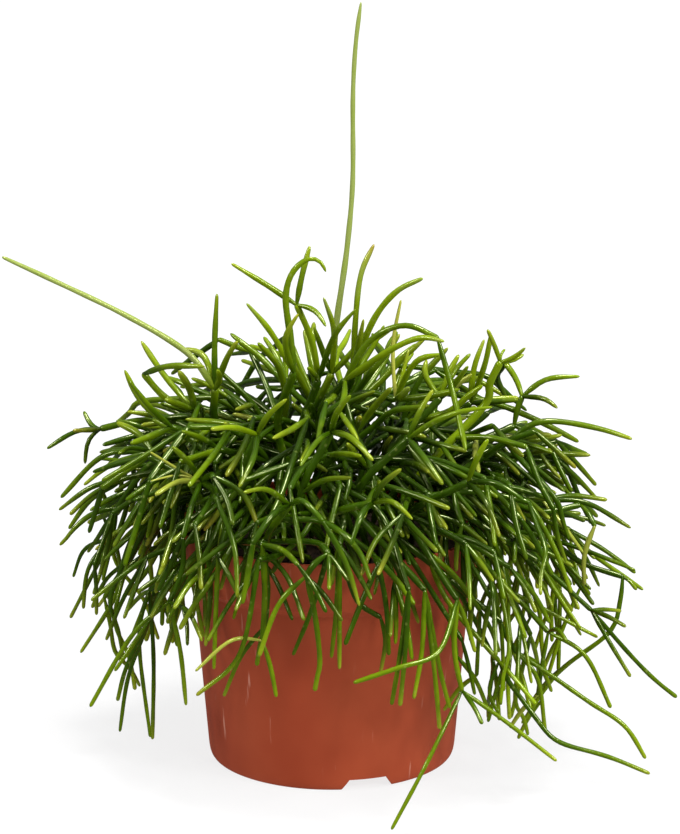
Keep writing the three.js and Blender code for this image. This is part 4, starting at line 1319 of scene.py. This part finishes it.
class Nodes:
    """Adds nodes to a material or world, and links them to the inputs of its shader."""

    def __init__(self, owner, shader="Principled BSDF"):
        owner.use_nodes = True
        self.owner = owner
        self.tree = owner.node_tree
        self.shader = self.tree.nodes[shader]

    def add(self, kind, inputs=(), **settings):
        node = self.tree.nodes.new(kind)
        for name, value in settings.items():
            setattr(node, name, value)
        for name, value in dict(inputs).items():
            self.put(node.inputs[name], value)
        return node

    def put(self, socket, value):
        """Links an output to a socket, or sets the socket to a plain value."""
        if isinstance(value, bpy.types.NodeSocket):
            self.tree.links.new(value, socket)
        else:
            socket.default_value = value

    def attribute(self, name):
        return self.add("ShaderNodeAttribute", attribute_name=name).outputs["Fac"]

    def place(self, stretch=(1, 1, 1)):
        where = self.add("ShaderNodeTexCoord").outputs["Object"]
        return self.add("ShaderNodeMapping", {"Vector": where, "Scale": stretch}).outputs["Vector"]

    def noise(self, scale, detail, stretch=(1, 1, 1)):
        inputs = {"Vector": self.place(stretch), "Scale": scale, "Detail": detail}
        return self.add("ShaderNodeTexNoise", inputs).outputs["Fac"]

    def math(self, operation, *values):
        node = self.add("ShaderNodeMath", operation=operation)
        for socket, value in zip(node.inputs, values):
            self.put(socket, value)
        return node.outputs["Value"]

    def spread(self, value, given, wanted=(0.0, 1.0)):
        """Maps a value from one range to another, held within the second."""
        names = ("Value", "From Min", "From Max", "To Min", "To Max")
        inputs = dict(zip(names, (value, *given, *wanted)))
        return self.add("ShaderNodeMapRange", inputs).outputs["Result"]

    def ramp(self, value, stops):
        node = self.add("ShaderNodeValToRGB", {"Fac": value})
        elements = node.color_ramp.elements
        for element, (place, colour) in zip(elements, (stops[0], stops[-1])):
            element.position = place
            element.color = linear(colour)
        for place, colour in stops[1:-1]:
            elements.new(place).color = linear(colour)
        return node.outputs["Color"]

    def mix(self, factor, a, b):
        node = self.add("ShaderNodeMix", {"Factor": factor, "A": a, "B": b}, data_type="RGBA")
        return node.outputs["Result"]

    def bump(self, height, strength, distance):
        inputs = {"Height": height, "Strength": strength, "Distance": distance}
        return self.add("ShaderNodeBump", inputs).outputs["Normal"]

    def finish(self, **inputs):
        for name, value in inputs.items():
            self.put(self.shader.inputs[name.replace("_", " ")], value)
        return self.owner


def material_nodes(name):
    return Nodes(bpy.data.materials.new(name))


def linear(colour):
    """A colour of three 0 to 255 display values, as Blender wants it."""
    levels = [value / 255 for value in colour]
    return (*(x / 12.92 if x <= 0.04045 else ((x + 0.055) / 1.055) ** 2.4 for x in levels), 1)


# ------------------------------ green stems

STEM_GREENS = [(0.0, (12, 28, 1)), (0.4, (44, 70, 1)), (0.8, (108, 130, 4)), (1.0, (128, 141, 70))]
SHADE_SHARE = 0.8  # a shade's place on that ramp is this share of it,
SHADE_SHIFT = -0.14  # shifted by this
MOTTLE_SCALE = 150  # a noise's scale is how many of its lumps a metre has
MOTTLE_SHARE = 0.35  # how much the mottle adds to a stem's shade
TIP_YELLOW = (136, 142, 34)
TIP_BROWN = (130, 108, 34)
BROWN_FROM = 0.94  # of a stem's warmth: from here on its tip is brown
RIPE_FROM = 0.3  # and from here on it has another colour than the stem,
RIPE_MOST = 0.9  # up to this share
AREOLE_PALE = (130, 140, 70)
AREOLE_SCALE = 260
AREOLE_EDGE = (0.08, 0.2)  # where a mark starts to fade and where it ends, as shares of a cell
AREOLE_STRENGTH = 0.3
DRY_STRAW = (148, 151, 58)
STEM_GRAIN_SCALE = 700
STEM_ROUGHNESS = (0.12, 0.25)
STEM_BUMP = (0.25, 0.00012)  # its strength, and its height in metres


def stem_material():
    nodes = material_nodes("green_stem")
    mottle = nodes.noise(MOTTLE_SCALE, detail=3)
    # the shade attribute holds each stem's own tone, with painted shade and painted light in it
    shade = nodes.math("MULTIPLY_ADD", mottle, MOTTLE_SHARE, nodes.attribute("shade"))
    place = nodes.math("MULTIPLY_ADD", shade, SHADE_SHARE, SHADE_SHIFT)
    body = nodes.ramp(place, STEM_GREENS)
    brown = nodes.spread(nodes.attribute("warm"), (BROWN_FROM, 1.0))
    tip_colour = nodes.mix(brown, linear(TIP_YELLOW), linear(TIP_BROWN))
    ripe = nodes.spread(nodes.attribute("warm"), (RIPE_FROM, 1.0), (0.0, RIPE_MOST))
    tip = nodes.math("MULTIPLY", nodes.attribute("tip"), ripe)
    colour = nodes.mix(tip, body, tip_colour)
    cells = {"Vector": nodes.place(), "Scale": AREOLE_SCALE}
    off_areole = nodes.add("ShaderNodeTexVoronoi", cells).outputs["Distance"]
    areole = nodes.spread(off_areole, AREOLE_EDGE, (AREOLE_STRENGTH, 0.0))
    colour = nodes.mix(areole, colour, linear(AREOLE_PALE))
    colour = nodes.mix(nodes.attribute("dry"), colour, linear(DRY_STRAW))
    grain = nodes.noise(STEM_GRAIN_SCALE, detail=2)
    return nodes.finish(
        Base_Color=colour,
        Roughness=nodes.spread(grain, MIDDLE_NOISE, STEM_ROUGHNESS),
        Normal=nodes.bump(grain, *STEM_BUMP),
        Specular_IOR_Level=0.45,
        Specular_Tint=(0.92, 1.0, 0.5, 1),
    )


# ------------------------------ terracotta plastic

TERRACOTTA = (153, 68, 42)
TERRACOTTA_DARK = (140, 57, 34)
CLOUD_SCALE = 22
CLOUD_EDGE = (0.35, 0.65)  # the noise at which the plastic is darkest and palest
SCUFF = (205, 150, 130)
SCUFF_STRETCH = (420, 420, 40)  # the scuffs run up and down
SCUFF_EDGE = (0.66, 0.74)  # the noise at which a scuff starts and is full
SCUFF_STRENGTH = 0.5
SCUFFED_SCALE = 38  # scuffs lie in patches
SCUFFED_EDGE = (0.5, 0.62)
POT_GRAIN_SCALE = 1400
POT_ROUGHNESS = (0.45, 0.55)
POT_BUMP = (0.12, 0.0001)


def pot_material():
    nodes = material_nodes("terracotta_plastic")
    cloud = nodes.noise(CLOUD_SCALE, detail=3)
    tone = nodes.spread(cloud, CLOUD_EDGE)
    colour = nodes.mix(tone, linear(TERRACOTTA_DARK), linear(TERRACOTTA))
    scratches = nodes.spread(nodes.noise(1, detail=2, stretch=SCUFF_STRETCH), SCUFF_EDGE)
    patches = nodes.spread(nodes.noise(SCUFFED_SCALE, detail=1), SCUFFED_EDGE)
    scuffed = nodes.math("MULTIPLY", scratches, patches)
    colour = nodes.mix(nodes.math("MULTIPLY", scuffed, SCUFF_STRENGTH), colour, linear(SCUFF))
    grain = nodes.noise(POT_GRAIN_SCALE, detail=2)
    return nodes.finish(
        Base_Color=colour,
        Roughness=nodes.spread(cloud, MIDDLE_NOISE, POT_ROUGHNESS),
        Normal=nodes.bump(grain, *POT_BUMP),
        Specular_IOR_Level=0.12,
        Specular_Tint=(1, 0.6, 0.45, 1),
    )


# ------------------------------ potting soil

PEAT_COLOURS = [(0.35, (18, 13, 9)), (0.72, (50, 36, 25))]
PEAT_SCALE = 420
PEAT_FINE_SCALE = 1500
PEAT_ROUGHNESS = (0.85, 1.0)
PEAT_BUMP = (0.8, 0.0006)


def peat_material():
    nodes = material_nodes("potting_soil")
    colour = nodes.ramp(nodes.noise(PEAT_SCALE, detail=4), PEAT_COLOURS)
    fine = nodes.noise(PEAT_FINE_SCALE, detail=4)
    return nodes.finish(
        Base_Color=colour,
        Roughness=nodes.spread(fine, MIDDLE_NOISE, PEAT_ROUGHNESS),
        Normal=nodes.bump(fine, *PEAT_BUMP),
        Specular_IOR_Level=0.1,
    )


# ------------------------------ the pieces, on their body

green = stem_material()
sprays = plant_sprays()
fill_out(sprays)
for number, spray in enumerate(sprays, start=1):
    stems = stem_piece(number, spray, green)
    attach(stems, "root")
    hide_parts(f"spray_{number:02d}")

pot = pot_piece(pot_material())
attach(pot, "root")
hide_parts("pot")

peat = peat_piece(peat_material())
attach(peat, "root")
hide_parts("soil")

# ------------------------------ floor, light and camera

FLOOR_SIZE = 60.0  # metres
FLOOR_GREY = (88, 88, 88)
FLOOR_GLOW = 0.8  # what the floor gives off by itself, which keeps its shadows pale
ZENITH_STRENGTH = 0.45
HORIZON_STRENGTH = 0.1
CAMERA_PLACE = (3.2, -1257.6, 463.3)
CAMERA_TARGET = (3.2, 0, 134)
CAMERA_LENS = 146.6  # mm, on Blender's 36 mm sensor
CAMERA_FURTHEST = 100  # metres that it sees

# Where each light comes from, in degrees round from the front and up, its strength and its width.
SUNS = {
    "key": (36, 42, 1.3, 12),
    "fill": (-66, 32, 1.5, 12),
    "top": (20, 80, 4.3, 14),
    "side": (62, 28, 2.5, 14),
}


def floor_plane():
    """A wide pale floor, which the shiny stems don't mirror."""
    half = FLOOR_SIZE / MM / 2
    points = [(-half, -half, 0), (half, -half, 0), (half, half, 0), (-half, half, 0)]
    material = material_nodes("floor").finish(
        Base_Color=linear(FLOOR_GREY), Roughness=0.9,
        Emission_Color=WHITE, Emission_Strength=FLOOR_GLOW,
    )
    floor = build_object("floor", points, [[0, 1, 2, 3]], material)
    floor.visible_glossy = False
    return floor


def studio_world():
    """Soft light from all round, strongest from above."""
    nodes = Nodes(bpy.data.worlds.new("studio"), "Background")
    way = nodes.add("ShaderNodeTexCoord").outputs["Generated"]
    rise = nodes.add("ShaderNodeSeparateXYZ", {"Vector": way}).outputs["Z"]
    strength = nodes.spread(rise, (0.0, 1.0), (HORIZON_STRENGTH, ZENITH_STRENGTH))
    return nodes.finish(Color=WHITE, Strength=strength)


def add_aimed(name, data, way, forward):
    """Adds a light or camera whose forward axis points a way."""
    aimed = bpy.data.objects.new(name, data)
    aimed.rotation_euler = way.to_track_quat(forward, "Y").to_euler()
    bpy.context.scene.collection.objects.link(aimed)
    return aimed


def add_sun(name, azimuth, elevation, strength, width):
    """Adds a sun. An azimuth of 0 is the front, which is the -Y side."""
    light = bpy.data.lights.new(name, "SUN")
    light.energy = strength
    light.angle = math.radians(width)
    towards = Vector(direction(math.radians(azimuth - 90), math.radians(elevation)))
    add_aimed(name, light, towards, "Z")


def add_camera():
    data = bpy.data.cameras.new("camera")
    data.lens = CAMERA_LENS
    data.clip_end = CAMERA_FURTHEST
    camera = add_aimed("camera", data, Vector(CAMERA_TARGET) - Vector(CAMERA_PLACE), "-Z")
    camera.location = Vector(CAMERA_PLACE) * MM
    bpy.context.scene.camera = camera


floor_plane()
bpy.context.scene.world = studio_world()
bpy.context.scene.view_settings.view_transform = "Standard"
for name, values in SUNS.items():
    add_sun(name, *values)
add_camera()

# ------------------------------ bringing the scene up to date

bpy.context.view_layer.update()
